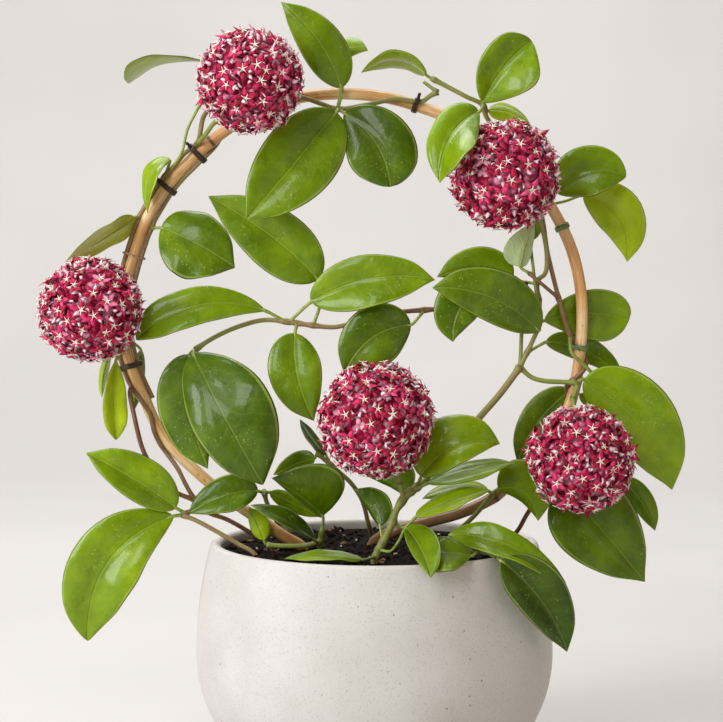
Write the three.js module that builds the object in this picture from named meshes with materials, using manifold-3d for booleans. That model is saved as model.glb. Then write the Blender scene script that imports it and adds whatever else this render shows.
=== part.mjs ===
// Potted hoya on a cane hoop
//
// A climbing hoya with five round crimson flower heads grows in a stoneware
// bowl and is trained round a hoop of bent cane, held to it by wire ties.
// Millimetres, +Z up. The origin is the centre of the pot's foot, on the
// surface it stands on. +X is to the right seen from the front, +Y is away.

import * as THREE from 'three';
import { mergeVertices } from 'three/addons/utils/BufferGeometryUtils.js';
import Module from 'manifold-3d';

const wasm = await Module();
wasm.setup();

// Driving dimensions of the pot and its soil
const POT_HEIGHT = 130;
const POT_RIM_RADIUS = 90;
const POT_BELLY_RADIUS = 98.6;
const POT_BELLY_HEIGHT = 68;
const POT_FOOT_CURVE = 85.5;
const POT_WALL = 6;
const POT_FLOOR = 8;
const SOIL_HEIGHT = 124;
const CHIP_COUNT = 9;

// Driving dimensions of the hoop, the stems and the ties
const CANE_RADIUS = 3.2;
const STEM_RADIUS = 1.3;
const TRUNK_RADIUS = 1.9;
const SOIL_DEPTH = 34;
const GAP = 0.35;
const HUG = CANE_RADIUS + STEM_RADIUS + GAP + 0.2;
const TIE_WIDTH = 2.2;
const TIE_THICKNESS = 1;
const TIE_SLACK = 0.6;

// Driving dimensions of a leaf
const PETIOLE_WIDTH = 1.8;
const PETIOLE_THICKNESS = 1.7;
const BLADE_THICKNESS = 1.1;

// Driving dimensions of a flower head, as shares of its radius
const FLORET_COUNT = 19;
const CORE_SHARE = 0.8;
const PETAL_TIP = { reach: 0.39, height: 0.92 };
const PETAL_NOTCH = { reach: 0.23, height: 0.95 };
const PEDICEL = { reach: 0.05, top: 0.87, foot: 0.62 };
const STALK_SHARE = 0.5;

// Places on the plant are written [across, down, depth]: the first two are
// where the point is seen in a view 723 x 722 pixels, and the third is how far
// behind the pot's axis it lies, in millimetres, so a minus sign is nearer
const VIEW_MIDDLE = { across: 361.5, down: 361 };
const VIEW_FOCAL = 2000;
const EYE = new THREE.Vector3(-7.15, -1100, 296);
const EYE_DIP = THREE.MathUtils.degToRad(3.47);

function sight(across, down) {
  const right = (across - VIEW_MIDDLE.across) / VIEW_FOCAL;
  const up = (VIEW_MIDDLE.down - down) / VIEW_FOCAL;
  return new THREE.Vector3(
    right,
    Math.cos(EYE_DIP) + up * Math.sin(EYE_DIP),
    -Math.sin(EYE_DIP) + up * Math.cos(EYE_DIP),
  );
}

function seen(place) {
  if (place.isVector3) {
    return place;
  }
  const ray = sight(place[0], place[1]);
  return ray.multiplyScalar((place[2] - EYE.y) / ray.y).add(EYE);
}

function onSoil(across, down) {
  const ray = sight(across, down);
  return ray.multiplyScalar((SOIL_HEIGHT - EYE.z) / ray.z).add(EYE);
}

// A closed mesh becomes a solid, and solids become named meshes
function solid(geometry) {
  const bare = geometry.index ? geometry.toNonIndexed() : geometry.clone();
  bare.deleteAttribute('normal');
  bare.deleteAttribute('uv');
  const whole = mergeVertices(bare, 1e-4);
  return new wasm.Manifold(new wasm.Mesh({
    numProp: 3,
    vertProperties: new Float32Array(whole.attributes.position.array),
    triVerts: new Uint32Array(whole.index.array),
  }));
}

function joined(solids) {
  return solids.reduce((sum, next) => sum.add(next));
}

function namedMesh(name, body, material) {
  const mesh = body.getMesh();
  const geometry = new THREE.BufferGeometry();
  const position = new THREE.BufferAttribute(new Float32Array(mesh.vertProperties), 3);
  geometry.setAttribute('position', position);
  geometry.setIndex(new THREE.BufferAttribute(new Uint32Array(mesh.triVerts), 1));
  geometry.computeVertexNormals();
  const piece = new THREE.Mesh(geometry, material);
  piece.name = name;
  return piece;
}

function finish(color, roughness) {
  return new THREE.MeshStandardMaterial({ color, roughness, metalness: 0 });
}

// Numbers between 0 and 1 that come out the same each time
function seeded(seed) {
  let state = seed;
  return () => {
    state = (state * 16807) % 2147483647;
    return state / 2147483647;
  };
}

// A round stem, cane or wire along a smooth line through its points
function tubeLine(points) {
  return new THREE.CatmullRomCurve3(points, false, 'centripetal');
}

function tubeSteps(points, stepLength) {
  return Math.max(2, Math.round(tubeLine(points).getLength() / stepLength));
}

function tube(points, radius, sides, stepLength) {
  const section = new THREE.Shape();
  for (let side = 0; side < sides; side += 1) {
    const angle = (side / sides) * 2 * Math.PI;
    const corner = [radius * Math.cos(angle), radius * Math.sin(angle)];
    if (side === 0) {
      section.moveTo(...corner);
    } else {
      section.lineTo(...corner);
    }
  }
  const steps = tubeSteps(points, stepLength);
  const extrudePath = tubeLine(points);
  return new THREE.ExtrudeGeometry(section, { steps, extrudePath, bevelEnabled: false });
}

// The foot of a stem or of the hoop stands in a plain hole in the soil
const holes = [];

function rooted(across, down) {
  return [-SOIL_DEPTH, -SOIL_DEPTH / 2, 0].map(
    (rise) => onSoil(across, down).add(new THREE.Vector3(0, 0, rise)),
  );
}

// Hoop: one bent cane, its two ends pushed into the soil
const HOOP_SEEN = [
  [285, 537], [262, 521], [235, 503], [212, 485], [196, 471], [179, 455], [167, 441], [157, 426],
  [150, 411], [144, 397], [137, 382], [131, 366], [124, 340], [122, 315], [125, 290], [130, 270],
  [138, 243], [147, 219], [155, 205], [165, 189], [178, 173], [190, 161], [200, 151], [221, 134],
  [250, 115], [275, 104], [303, 97], [330, 94], [352, 94], [375, 96], [397, 100], [420, 107],
  [440, 114], [470, 126], [500, 147], [528, 174], [549, 204], [562, 227], [573, 254], [580, 285],
  [582, 316], [580, 350], [575, 386], [567, 412], [555, 434], [542, 452], [527, 469], [510, 484],
  [494, 497], [475, 507], [454, 515], [435, 520], [416, 525], [395, 531],
];

const hoopPoints = [
  ...rooted(303, 549),
  ...HOOP_SEEN.map(([across, down]) => seen([across, down, 0])),
  ...rooted(372, 546).reverse(),
];
const hoopCurve = new THREE.CatmullRomCurve3(hoopPoints, false, 'centripetal');
const HOOP_STEPS = 48;
const HOOP_SIDES = 8;
const HOOP_SEARCH_STEPS = 900;
const hoopMiddle = seen([352, 322, 0]);

function makeHoop() {
  const step = hoopCurve.getLength() / HOOP_STEPS;
  holes.push(solid(tube(hoopPoints, CANE_RADIUS + GAP, HOOP_SIDES, step)));
  const cane = solid(tube(hoopPoints, CANE_RADIUS, HOOP_SIDES, step));
  return namedMesh('cane_hoop', cane, finish(0xc99a62, 0.5));
}

// The place on the hoop's axis that is seen nearest to a place in the view
function hoopFrame(across, down) {
  const target = seen([across, down, 0]);
  let best = 0;
  for (let step = 0; step <= HOOP_SEARCH_STEPS; step += 1) {
    const share = step / HOOP_SEARCH_STEPS;
    if (hoopCurve.getPointAt(share).distanceTo(target) < hoopCurve.getPointAt(best).distanceTo(target)) {
      best = share;
    }
  }
  const centre = hoopCurve.getPointAt(best);
  const along = hoopCurve.getTangentAt(best);
  const outward = centre.clone().sub(hoopMiddle);
  outward.addScaledVector(along, -outward.dot(along)).normalize();
  const nearer = new THREE.Vector3(0, -1, 0);
  nearer.addScaledVector(along, -nearer.dot(along)).normalize();
  return { centre, outward, nearer };
}

// A stem's place beside the hoop: 0 degrees is outside the ring, 90 in front
// of the cane, 180 inside the ring and 270 behind the cane
function hug(across, down, angle) {
  const { centre, outward, nearer } = hoopFrame(across, down);
  const turn = THREE.MathUtils.degToRad(angle);
  return centre
    .clone()
    .addScaledVector(outward, HUG * Math.cos(turn))
    .addScaledVector(nearer, HUG * Math.sin(turn));
}

// Leaf: a narrow stalk that widens into a pointed blade, folded a little along
// its midrib. left and right are seen from base to tip: how far out the edge
// is seen at the widest place, in pixels, and how much farther back it lies.
// widest is that place's share of the blade's length
const LARGE_BLADE_FROM = 40;
const LARGE_BLADE_STATIONS = [0.07, 0.22, 0.42, 0.64, 0.84];
const SMALL_BLADE_STATIONS = [0.09, 0.3, 0.56, 0.82];
const BLADE_FULLNESS = 1.35;
const STALK_ENTERS_BLADE = 0.04;
const PETIOLE_STEP = 13;
const TIP_THICKNESS_SHARE = 0.7;

function bladeShare(u, widest) {
  const rise = (u / widest) ** (BLADE_FULLNESS * widest);
  const fall = ((1 - u) / (1 - widest)) ** (BLADE_FULLNESS * (1 - widest));
  return rise * fall;
}

function leafRows({ stalk, base, bend, tip, left, right, widest = 0.42 }) {
  const ends = [base, bend, tip].map((place) => new THREE.Vector3(...place));
  const control = ends[1].clone().multiplyScalar(2);
  control.addScaledVector(ends[0], -0.5).addScaledVector(ends[2], -0.5);
  const midrib = new THREE.QuadraticBezierCurve3(ends[0], control, ends[2]);
  const stalkLine = [...stalk, base].map(seen);
  stalkLine.push(seen(midrib.getPoint(STALK_ENTERS_BLADE).toArray()));
  const petiole = new THREE.CatmullRomCurve3(stalkLine, false, 'centripetal');
  const isLarge = seen(base).distanceTo(seen(tip)) > LARGE_BLADE_FROM;
  const stations = isLarge ? LARGE_BLADE_STATIONS : SMALL_BLADE_STATIONS;
  const rows = stations.map((u) => {
    const share = bladeShare(u, widest);
    const middle = midrib.getPoint(u);
    const ahead = midrib.getTangent(u);
    const out = new THREE.Vector3(ahead.y, -ahead.x, 0).normalize();
    const edge = ([width, back], side) => {
      const place = middle.clone().addScaledVector(out, side * width * share);
      return seen([place.x, place.y, place.z + back * share]);
    };
    return {
      left: edge(left, 1),
      middle: seen(middle.toArray()),
      right: edge(right, -1),
      thickness: BLADE_THICKNESS,
    };
  });
  const across = rows[0].left.clone().sub(rows[0].right).normalize();
  const petioleSteps = Math.max(1, Math.round(petiole.getLength() / PETIOLE_STEP));
  const petioleRows = [];
  for (let step = 0; step < petioleSteps; step += 1) {
    const middle = petiole.getPointAt(step / petioleSteps);
    const along = petiole.getTangentAt(step / petioleSteps);
    const side = across.clone().addScaledVector(along, -across.dot(along)).normalize();
    petioleRows.push({
      left: middle.clone().addScaledVector(side, PETIOLE_WIDTH / 2),
      middle,
      right: middle.clone().addScaledVector(side, -PETIOLE_WIDTH / 2),
      thickness: PETIOLE_THICKNESS,
    });
  }
  return { rows: [...petioleRows, ...rows], tip: seen(tip) };
}

function makeLeaf(leaf) {
  const { rows, tip } = leafRows(leaf);
  const position = [];
  const faces = [];
  const put = (point) => position.push(point.x, point.y, point.z) / 3 - 1;
  const face = (a, b, c) => faces.push(a, b, c);
  const quad = (a, b, c, d) => {
    face(a, b, c);
    face(a, c, d);
  };
  const rings = rows.map(({ left, middle, right, thickness }, index) => {
    const next = index + 1 < rows.length ? rows[index + 1].middle : tip;
    const along = next.clone().sub(middle);
    const normal = along.cross(left.clone().sub(right)).normalize();
    const lift = normal.multiplyScalar(thickness / 2);
    const upper = [left, middle, right].map((point) => put(point.clone().add(lift)));
    const lower = [left, middle, right].map((point) => put(point.clone().sub(lift)));
    return { upper, lower, lift };
  });
  const last = rings[rings.length - 1];
  const tipUpper = put(tip.clone().addScaledVector(last.lift, TIP_THICKNESS_SHARE));
  const tipLower = put(tip.clone().addScaledVector(last.lift, -TIP_THICKNESS_SHARE));
  for (let row = 0; row + 1 < rings.length; row += 1) {
    const near = rings[row];
    const far = rings[row + 1];
    quad(near.upper[0], near.upper[1], far.upper[1], far.upper[0]);
    quad(near.upper[1], near.upper[2], far.upper[2], far.upper[1]);
    quad(near.lower[1], near.lower[0], far.lower[0], far.lower[1]);
    quad(near.lower[2], near.lower[1], far.lower[1], far.lower[2]);
    quad(near.lower[0], near.upper[0], far.upper[0], far.lower[0]);
    quad(near.upper[2], near.lower[2], far.lower[2], far.upper[2]);
  }
  const first = rings[0];
  quad(first.upper[1], first.upper[0], first.lower[0], first.lower[1]);
  quad(first.upper[2], first.upper[1], first.lower[1], first.lower[2]);
  face(last.upper[0], last.upper[1], tipUpper);
  face(last.upper[1], last.upper[2], tipUpper);
  face(last.lower[1], last.lower[0], tipLower);
  face(last.lower[2], last.lower[1], tipLower);
  quad(last.lower[0], last.upper[0], tipUpper, tipLower);
  quad(last.upper[2], last.lower[2], tipLower, tipUpper);
  const geometry = new THREE.BufferGeometry();
  geometry.setAttribute('position', new THREE.Float32BufferAttribute(position, 3));
  geometry.setIndex(faces);
  return solid(geometry);
}

// Stems have five sides, and shorter steps where they wind round the cane
const STEM_SIDES = 5;
const STEM_STEP = 14;
const FINE_STEP = 10;
const WINDING_STEP = 4.2;
const HOLE_CLEARANCE = GAP + 0.1;

// Side stems and leaf stalks start on the axis of the nearest earlier stem
function nearestOn(axes, place) {
  const target = seen(place);
  let best = target;
  let least = Infinity;
  axes.forEach((axis) => axis.slice(1).forEach((end, index) => {
    const point = new THREE.Vector3();
    new THREE.Line3(axis[index], end).closestPointToPoint(target, true, point);
    if (point.distanceTo(target) < least) {
      least = point.distanceTo(target);
      best = point;
    }
  }));
  return best;
}

function leafyStem(name, stems, leaves) {
  const axes = [];
  const parts = stems.map(({ route, radius = STEM_RADIUS, step = STEM_STEP }) => {
    const points = route.map(seen);
    if (points[0].z < SOIL_HEIGHT) {
      holes.push(solid(tube(points, radius + HOLE_CLEARANCE, STEM_SIDES, step)));
    } else if (axes.length > 0) {
      points[0] = nearestOn(axes, points[0]);
    }
    axes.push(tubeLine(points).getSpacedPoints(tubeSteps(points, step)));
    return solid(tube(points, radius, STEM_SIDES, step));
  });
  leaves.forEach((leaf) => {
    const stalk = [nearestOn(axes, leaf.stalk[0]), ...leaf.stalk.slice(1)];
    parts.push(makeLeaf({ ...leaf, stalk }));
  });
  return namedMesh(name, joined(parts), finish(0x56852a, 0.4));
}

// The straight end of a flower head's stalk, which sits in a socket in it
function bloomRadius({ centre, across }) {
  return seen([centre[0] + across / 2, centre[1], centre[2]]).distanceTo(seen(centre));
}

function stalkRoute(head, share) {
  const centre = seen(head.centre);
  const inward = seen(head.stalk).sub(centre).normalize();
  return [seen(head.stalk), centre.addScaledVector(inward, share * bloomRadius(head))];
}

// Vine up the left of the hoop and over its top: eleven leaves, and the
// stalks of the two flower heads on the left
const BLOOM_TOP_LEFT = {
  name: 'bloom_top_left', centre: [250, 81, -37], across: 108, stalk: [220, 119, -16], seed: 11,
};
const BLOOM_LEFT = {
  name: 'bloom_left', centre: [90.5, 310, -32], across: 107, stalk: [119, 338, -10], seed: 23,
};

const leftVineRoute = [
  ...rooted(272, 549), [249, 532, -2], [226, 519, -6], [207, 512, -8], [196, 501, -8],
  [186, 485, -8], [178, 469, -6], hug(172, 447, 5), hug(166, 440, 30), hug(158, 427, 60),
  hug(152, 415, 90), hug(147, 403, 75), hug(141, 391, 45), hug(136, 379, 20), hug(131, 366, 0),
  hug(124, 340, 0), hug(122, 315, 0), hug(125, 290, 0), hug(130, 270, 0), hug(138, 243, 0),
  hug(147, 219, 0), hug(155, 205, 0), hug(166, 187, 0), [175, 165, -3], [185, 153, -3.5],
  hug(202, 149, 30), [200, 134, -5], [205, 114, -4], [224, 99, -3], [250, 94, -4],
  [280, 95, -5], [304, 98, -6], [322, 104, -6], [338, 109, -6], [365, 105, -7],
  hug(397, 100, 90), hug(410, 104, 72), hug(420, 107, 58), [430, 96, -5], [438, 92, -6],
];
const innerShootRoute = [
  [224, 99, -3], [225, 118, 3], hug(218, 136, 250), hug(210, 143, 215), hug(200, 151, 185),
  hug(190, 161, 180), hug(178, 173, 180), hug(166, 187, 180), hug(155, 205, 180), hug(147, 219, 180),
  hug(138, 243, 180), hug(130, 270, 180), hug(125, 290, 180), hug(122, 315, 180),
  hug(124, 340, 180), hug(131, 366, 180), hug(137, 382, 180), hug(146, 400, 180),
];
const brownShootRoute = [
  [196, 502, -8], [172, 490, -11], [153, 468, -11], [143, 450, -11], [134, 415, -11],
  [130, 394, -9], hug(137, 384, 20),
];

const LEFT_VINE_LEAVES = [
  { // small, bright, hanging under the left flower head
    stalk: [hug(127, 352, 0)], base: [116, 360, -11], bend: [114, 400, -13], tip: [116, 440, -12],
    left: [14, 3], right: [11, -4], widest: 0.6,
  },
  { // pale sliver behind it
    stalk: [hug(125, 345, 0)], base: [111, 351, -3], bend: [103, 375, 3], tip: [102, 398, 4],
    left: [5, 8], right: [4, 6],
  },
  { // hangs behind the cane
    stalk: [hug(125, 343, 180)], base: [141, 350, 6], bend: [137, 382, 10], tip: [133, 413, 8],
    left: [7, 5], right: [7, 5],
  },
  { // points out to the left, seen from below
    stalk: [hug(147, 219, 0)], base: [135, 217, -3], bend: [107, 236, -8], tip: [65, 262, -14],
    left: [12, 12], right: [11, -14],
  },
  { // small and curled
    stalk: [hug(170, 183, 0)], base: [170, 160, -2], bend: [150, 174, -8], tip: [148, 214, -9],
    left: [8, -8], right: [7, 8],
  },
  { // broad and very glossy, inside the ring
    stalk: [hug(145, 225, 180)], base: [161, 228, -8], bend: [198, 245, -16], tip: [235, 268, -16],
    left: [33, 5], right: [36, 3],
  },
  { // level, seen from its edge at the top left
    stalk: [hug(174, 178, 20), [181, 154, -7], [188, 128, -8], [198, 108, -9], [207, 84, -10]],
    base: [207, 62, -12], bend: [165, 65, -16], tip: [126, 81, -20],
    left: [2, 20], right: [9, -20], widest: 0.7,
  },
  { // upright at the top
    stalk: [[338, 107, -5]], base: [341, 88, -9], bend: [320, 43, -16], tip: [281, 2, -14],
    left: [22, 6], right: [23, 6],
  },
  { // olive, behind it
    stalk: [[338, 107, -5], [342, 95, -8], [342, 80, -3]], base: [336, 65, 12],
    bend: [350, 50, 13], tip: [368, 51, 10], left: [13, 5], right: [7, 3],
  },
  { // the largest at the top, hanging down to the left
    stalk: [[338, 107, -5]], base: [337, 112, -10], bend: [292, 166, -22], tip: [246, 220, -30],
    left: [40, 2], right: [38, 4],
  },
  { // round and dark, hanging down to the right
    stalk: [[338, 107, -5]], base: [344, 113, -10], bend: [376, 144, -16], tip: [390, 187, -18],
    left: [37, 5], right: [33, 4], widest: 0.5,
  },
];

const leftVine = leafyStem('vine_left', [
  { route: leftVineRoute, step: FINE_STEP },
  { route: innerShootRoute, radius: 1.1, step: FINE_STEP },
  { route: brownShootRoute },
  { route: [hug(127, 352, 0), [120, 346, -8], BLOOM_LEFT.stalk] },
  { route: stalkRoute(BLOOM_LEFT, STALK_SHARE) },
  { route: [hug(202, 149, 30), [206, 134, -12], [213, 124, -15], BLOOM_TOP_LEFT.stalk] },
  { route: stalkRoute(BLOOM_TOP_LEFT, STALK_SHARE) },
  { route: [[438, 92, -6], [432, 88, -5], [424, 82, -3]], radius: 1 },
], LEFT_VINE_LEAVES);

// Shoot across the middle of the ring: seven leaves
const middleShootRoute = [
  [527, 283, -9], [517, 287, -11], [495, 297, -16], [470, 303, -17], [436, 309, -16],
  [410, 311, -15], [383, 314, -14], [360, 321, -14], [335, 327, -14], [310, 325, -14],
  [289, 322, -14], [264, 320, -13], [243, 325, -13], [225, 332, -13], [208, 341, -14],
  [195, 350, -15],
];

const MIDDLE_SHOOT_LEAVES = [
  { // behind the tip of the big top leaf
    stalk: [[314, 326, -14], [320, 304, -12]], base: [318, 280, -10], bend: [272, 237, -12],
    tip: [208, 196, -12], left: [31, 3], right: [31, 3],
  },
  { // level, to the right
    stalk: [[289, 322, -14]], base: [311, 302, -18], bend: [372, 279, -26], tip: [435, 280, -28],
    left: [26, 4], right: [28, -4],
  },
  { // long, to the left across the cane
    stalk: [[286, 322, -14]], base: [266, 311, -17], bend: [196, 306, -24], tip: [136, 340, -24],
    left: [19, -4], right: [21, 6], widest: 0.6,
  },
  { // hangs below the stem
    stalk: [[298, 323, -14]], base: [295, 333, -18], bend: [297, 376, -26], tip: [314, 421, -26],
    left: [26, 4], right: [28, 4],
  },
  { // round, hangs to the right of it
    stalk: [[425, 311, -15]], base: [411, 325, -20], bend: [371, 338, -26], tip: [344, 373, -24],
    left: [31, 3], right: [30, 5],
  },
  { // the largest of all, low at the left
    stalk: [[195, 350, -15]], base: [193, 353, -18], bend: [224, 416, -38], tip: [263, 485, -36],
    left: [51, 8], right: [35, 8], widest: 0.5,
  },
  { // behind it
    stalk: [[197, 349, -15]], base: [190, 354, -15], bend: [190, 411, -14], tip: [208, 469, -14],
    left: [20, 3], right: [32, 3],
  },
];

const middleShoot = leafyStem('shoot_middle', [{ route: middleShootRoute }], MIDDLE_SHOOT_LEAVES);

// Thick vine from the front of the soil up the right: fifteen leaves, and
// the stalks of three flower heads
const BLOOM_TOP_RIGHT = {
  name: 'bloom_top_right', centre: [504.5, 175, -36], across: 113, stalk: [539, 218, -14], seed: 37,
};
const BLOOM_MIDDLE = {
  name: 'bloom_middle', centre: [376.5, 420, -48], across: 119, stalk: [400, 483, -38], seed: 41,
};
const BLOOM_RIGHT = {
  name: 'bloom_right', centre: [581, 459, -36], across: 110, stalk: [573, 398, -16], seed: 53,
};

const trunkRoute = [
  ...rooted(374, 563), [384, 540, -44], [391, 526, -41], [396, 511, -38],
  [406, 496, -34], [417, 487, -30], [432, 475, -24], [455, 447, -18], [479, 418, -15],
  [500, 394, -13], [520, 367, -12],
];
const trunkTopRoute = [
  [520, 367, -12], [533, 340, -11], [539, 325, -10], [539, 301, -9], [537, 281, -9],
  [545, 274, -9], [547, 260, -9], [545, 240, -11], BLOOM_TOP_RIGHT.stalk,
];
const sideShootRoute = [
  [521, 368, -12], [531, 377, -12], [545, 381, -13], [562, 382, -13], [577, 384, -14],
  BLOOM_RIGHT.stalk,
];

const TRUNK_LEAVES = [
  { // small, dark, near the soil
    stalk: [[383, 543, -44]], base: [380, 526, -40], bend: [370, 507, -36], tip: [355, 489, -34],
    left: [4, 10], right: [21, 4],
  },
  { // under the middle flower head
    stalk: [[402, 502, -36]], base: [405, 494, -30], bend: [390, 482, -18], tip: [366, 476, -10],
    left: [5, 6], right: [26, 6],
  },
  { // to the right of the middle flower head
    stalk: [[416, 488, -30]], base: [421, 477, -34], bend: [457, 446, -38], tip: [500, 444, -34],
    left: [34, 13], right: [18, -6],
  },
  { // below it
    stalk: [[410, 492, -32]], base: [429, 483, -34], bend: [471, 471, -30], tip: [515, 463, -26],
    left: [11, 10], right: [9, -10],
  },
  { // bright, over the low end of the cane
    stalk: [[393, 521, -40], [403, 528, -40]], base: [416, 517, -41], bend: [453, 500, -42],
    tip: [491, 490, -38], left: [11, 10], right: [8, -12],
  },
  { // bends down over the rim
    stalk: [[378, 553, -46], [391, 551, -54], [399, 541, -60]], base: [406, 528, -66],
    bend: [421, 550, -84], tip: [431, 578, -105], left: [21, 2], right: [10, -3],
  },
  { // lies over the soil behind the rim
    stalk: [[376, 557, -46]], base: [362, 560, -58], bend: [324, 556, -60], tip: [284, 559, -56],
    left: [4, -8], right: [6, 16],
  },
  { // large, in front, pointing left
    stalk: [[539, 325, -10]], base: [539, 331, -14], bend: [490, 297, -32], tip: [432, 288, -36],
    left: [24, 4], right: [30, 6],
  },
  { // hangs behind it
    stalk: [[537, 300, -9], [515, 290, -20]], base: [486, 285, -24], bend: [459, 309, -26],
    tip: [453, 342, -28], left: [20, 4], right: [26, 3],
  },
  { // behind it, pointing left
    stalk: [[534, 283, -9]], base: [512, 279, -4], bend: [478, 267, -4], tip: [437, 277, -6],
    left: [16, 3], right: [21, 3],
  },
  { // small, at the end of the short side stem
    stalk: [[530, 243, -8]], base: [530, 240, -8], bend: [535, 223, -7], tip: [534, 205, -5],
    left: [9, 3], right: [8, 3],
  },
  { // to the right, behind the cane
    stalk: [[539, 318, -10]], base: [544, 321, -6], bend: [588, 313, 7], tip: [629, 321, 10],
    left: [24, 2], right: [27, 2], widest: 0.55,
  },
  { // below it
    stalk: [[532, 355, -11]], base: [546, 342, -5], bend: [586, 351, 14], tip: [624, 377, 14],
    left: [15, 2], right: [12, 3],
  },
  { // large, to the right
    stalk: [[577, 384, -14]], base: [584, 379, -12], bend: [640, 426, -8], tip: [672, 490, -6],
    left: [41, 3], right: [31, 3],
  },
];

const trunkVine = leafyStem('vine_right', [
  { route: trunkRoute, radius: TRUNK_RADIUS },
  { route: trunkTopRoute },
  { route: sideShootRoute },
  { route: [[519, 368, -12], [521, 348, -10], [522, 330, -8], [528, 305, -7]], radius: 1.1 },
  { route: [[405, 499, -35], [402, 491, -36], BLOOM_MIDDLE.stalk] },
  { route: stalkRoute(BLOOM_MIDDLE, STALK_SHARE) },
  { route: stalkRoute(BLOOM_TOP_RIGHT, STALK_SHARE) },
  { route: stalkRoute(BLOOM_RIGHT, STALK_SHARE) },
  { route: [[539, 318, -10], [537, 300, -13], [533, 266, -12], [530, 243, -8]], radius: 0.9 },
], TRUNK_LEAVES);

// Vine round the right of the hoop: it winds round the cane, then rises inside
// the ring and behind the flower head to its tip at the top. Eleven leaves
const rightFootRoute = [
  ...rooted(486, 547), [508, 540, 14], [518, 530, 12], [526, 516, 9], [537, 498, 6],
  [550, 472, 4], hug(564, 418, 0),
];
const rightWindingRoute = [
  hug(564, 418, 0), hug(571, 402, 285), hug(574, 392, 210), hug(576, 384, 150),
  hug(577, 376, 95), hug(578, 368, 40), hug(580, 360, 340), hug(580, 355, 285),
  hug(580, 350, 220), hug(580, 343, 190), [568, 332, -3],
];
const rightTopRoute = [
  [568, 332, -3], [562, 312, -3], [557, 292, -4], [552, 272, -5], [547, 250, -6],
  [544, 228, -4], [541, 212, 4], [536, 196, 7], [524, 172, 8], [508, 148, 6],
  [494, 128, 2], [486, 116, -2], [483, 105, -5], [467, 97, -8], [450, 88, -8], [431, 78, -8],
];

const RIGHT_VINE_LEAVES = [
  { // level, seen from its edge, at the vine's tip
    stalk: [[434, 79, -8]], base: [426, 75, -9], bend: [395, 60, -11], tip: [361, 73, -12],
    left: [9, 14], right: [9, -12],
  },
  { // upright at the top right
    stalk: [[484, 106, -5]], base: [483, 103, -8], bend: [504, 67, -14], tip: [532, 41, -14],
    left: [26, 3], right: [35, 5], widest: 0.53,
  },
  { // hangs over the left of the flower head
    stalk: [[484, 106, -5], [483, 106, -22]], base: [479, 112, -36], bend: [451, 137, -52],
    tip: [440, 183, -60], left: [24, -16], right: [24, 8],
  },
  { // behind the flower head
    stalk: [[485, 110, -4]], base: [488, 111, -3], bend: [508, 113, 0], tip: [530, 124, 0],
    left: [9, 8], right: [9, -3],
  },
  { // to the right of the flower head
    stalk: [hug(546, 200, 270)], base: [556, 193, 9], bend: [589, 172, 4], tip: [626, 177, 2],
    left: [27, 2], right: [24, 2],
  },
  { // hangs below it
    stalk: [hug(549, 204, 270), [566, 201, 10]], base: [583, 195, 10], bend: [619, 218, 10],
    tip: [627, 262, 10], left: [27, 2], right: [21, 2],
  },
  { // behind the right flower head, hanging left
    stalk: [hug(577, 378, 270)], base: [570, 390, 8], bend: [538, 421, 8], tip: [517, 462, 6],
    left: [24, 3], right: [19, 3],
  },
  { // small, folded and glossy, at the end of a short stem
    stalk: [[529, 273, -16]], base: [520, 267, -14], bend: [526, 245, -14], tip: [536, 222, -10],
    left: [20, 5], right: [8, 3], widest: 0.3,
  },
  { // small and bright, behind it
    stalk: [hug(574, 388, 300)], base: [580, 394, 9], bend: [590, 402, 11], tip: [602, 411, 11],
    left: [6, 2], right: [6, 2],
  },
  { // large, below the right flower head
    stalk: [[540, 482, 5]], base: [562, 484, -1], bend: [602, 530, -6], tip: [645, 582, -8],
    left: [42, 3], right: [43, 3], widest: 0.38,
  },
  { // behind it
    stalk: [[536, 488, 6], [570, 478, 12]], base: [620, 478, 14], bend: [642, 502, 14],
    tip: [655, 531, 12], left: [13, 3], right: [11, 3],
  },
];

const rightVine = leafyStem('vine_hoop_right', [
  { route: rightFootRoute, step: FINE_STEP },
  { route: rightWindingRoute, step: WINDING_STEP },
  { route: rightTopRoute },
  { route: [[558, 297, -4], [543, 285, -15], [529, 273, -16]], radius: 1 },
  { route: [[567, 340, -4], [572, 353, -8], [583, 364, -8], [597, 378, -8]], radius: 1 },
], RIGHT_VINE_LEAVES);

// Low shoot over the left of the rim: two large leaves
const LOW_LEFT_LEAVES = [
  { // points up and out
    stalk: [[184, 514, -14]], base: [176, 508, -17], bend: [133, 479, -24], tip: [86, 453, -26],
    left: [19, -3], right: [27, 5],
  },
  { // hangs down beside the pot
    stalk: [[182, 515, -14]], base: [174, 516, -17], bend: [108, 562, -26], tip: [88, 641, -18],
    left: [35, -3], right: [38, 5], widest: 0.55,
  },
];

const lowLeft = leafyStem('shoot_low_left', [
  { route: [...rooted(256, 556), [238, 544, -16], [214, 530, -15], [195, 520, -15], [182, 515, -14]] },
], LOW_LEFT_LEAVES);

// Shoot behind the low left leaves: two leaves at a node above the soil
const hiddenShoot = leafyStem('shoot_left_back', [
  { route: [...rooted(290, 541), [277, 522, 12], [267, 503, 0], [264, 491, -8]] },
], [
  { // to the left across the cane
    stalk: [[265, 492, -7]], base: [258, 491, -10], bend: [224, 496, -15], tip: [188, 514, -14],
    left: [17, -4], right: [20, 6],
  },
  { // olive, to the right
    stalk: [[265, 492, -7]], base: [270, 492, -6], bend: [294, 504, -2], tip: [320, 517, 1],
    left: [9, 5], right: [9, 3],
  },
]);

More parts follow.
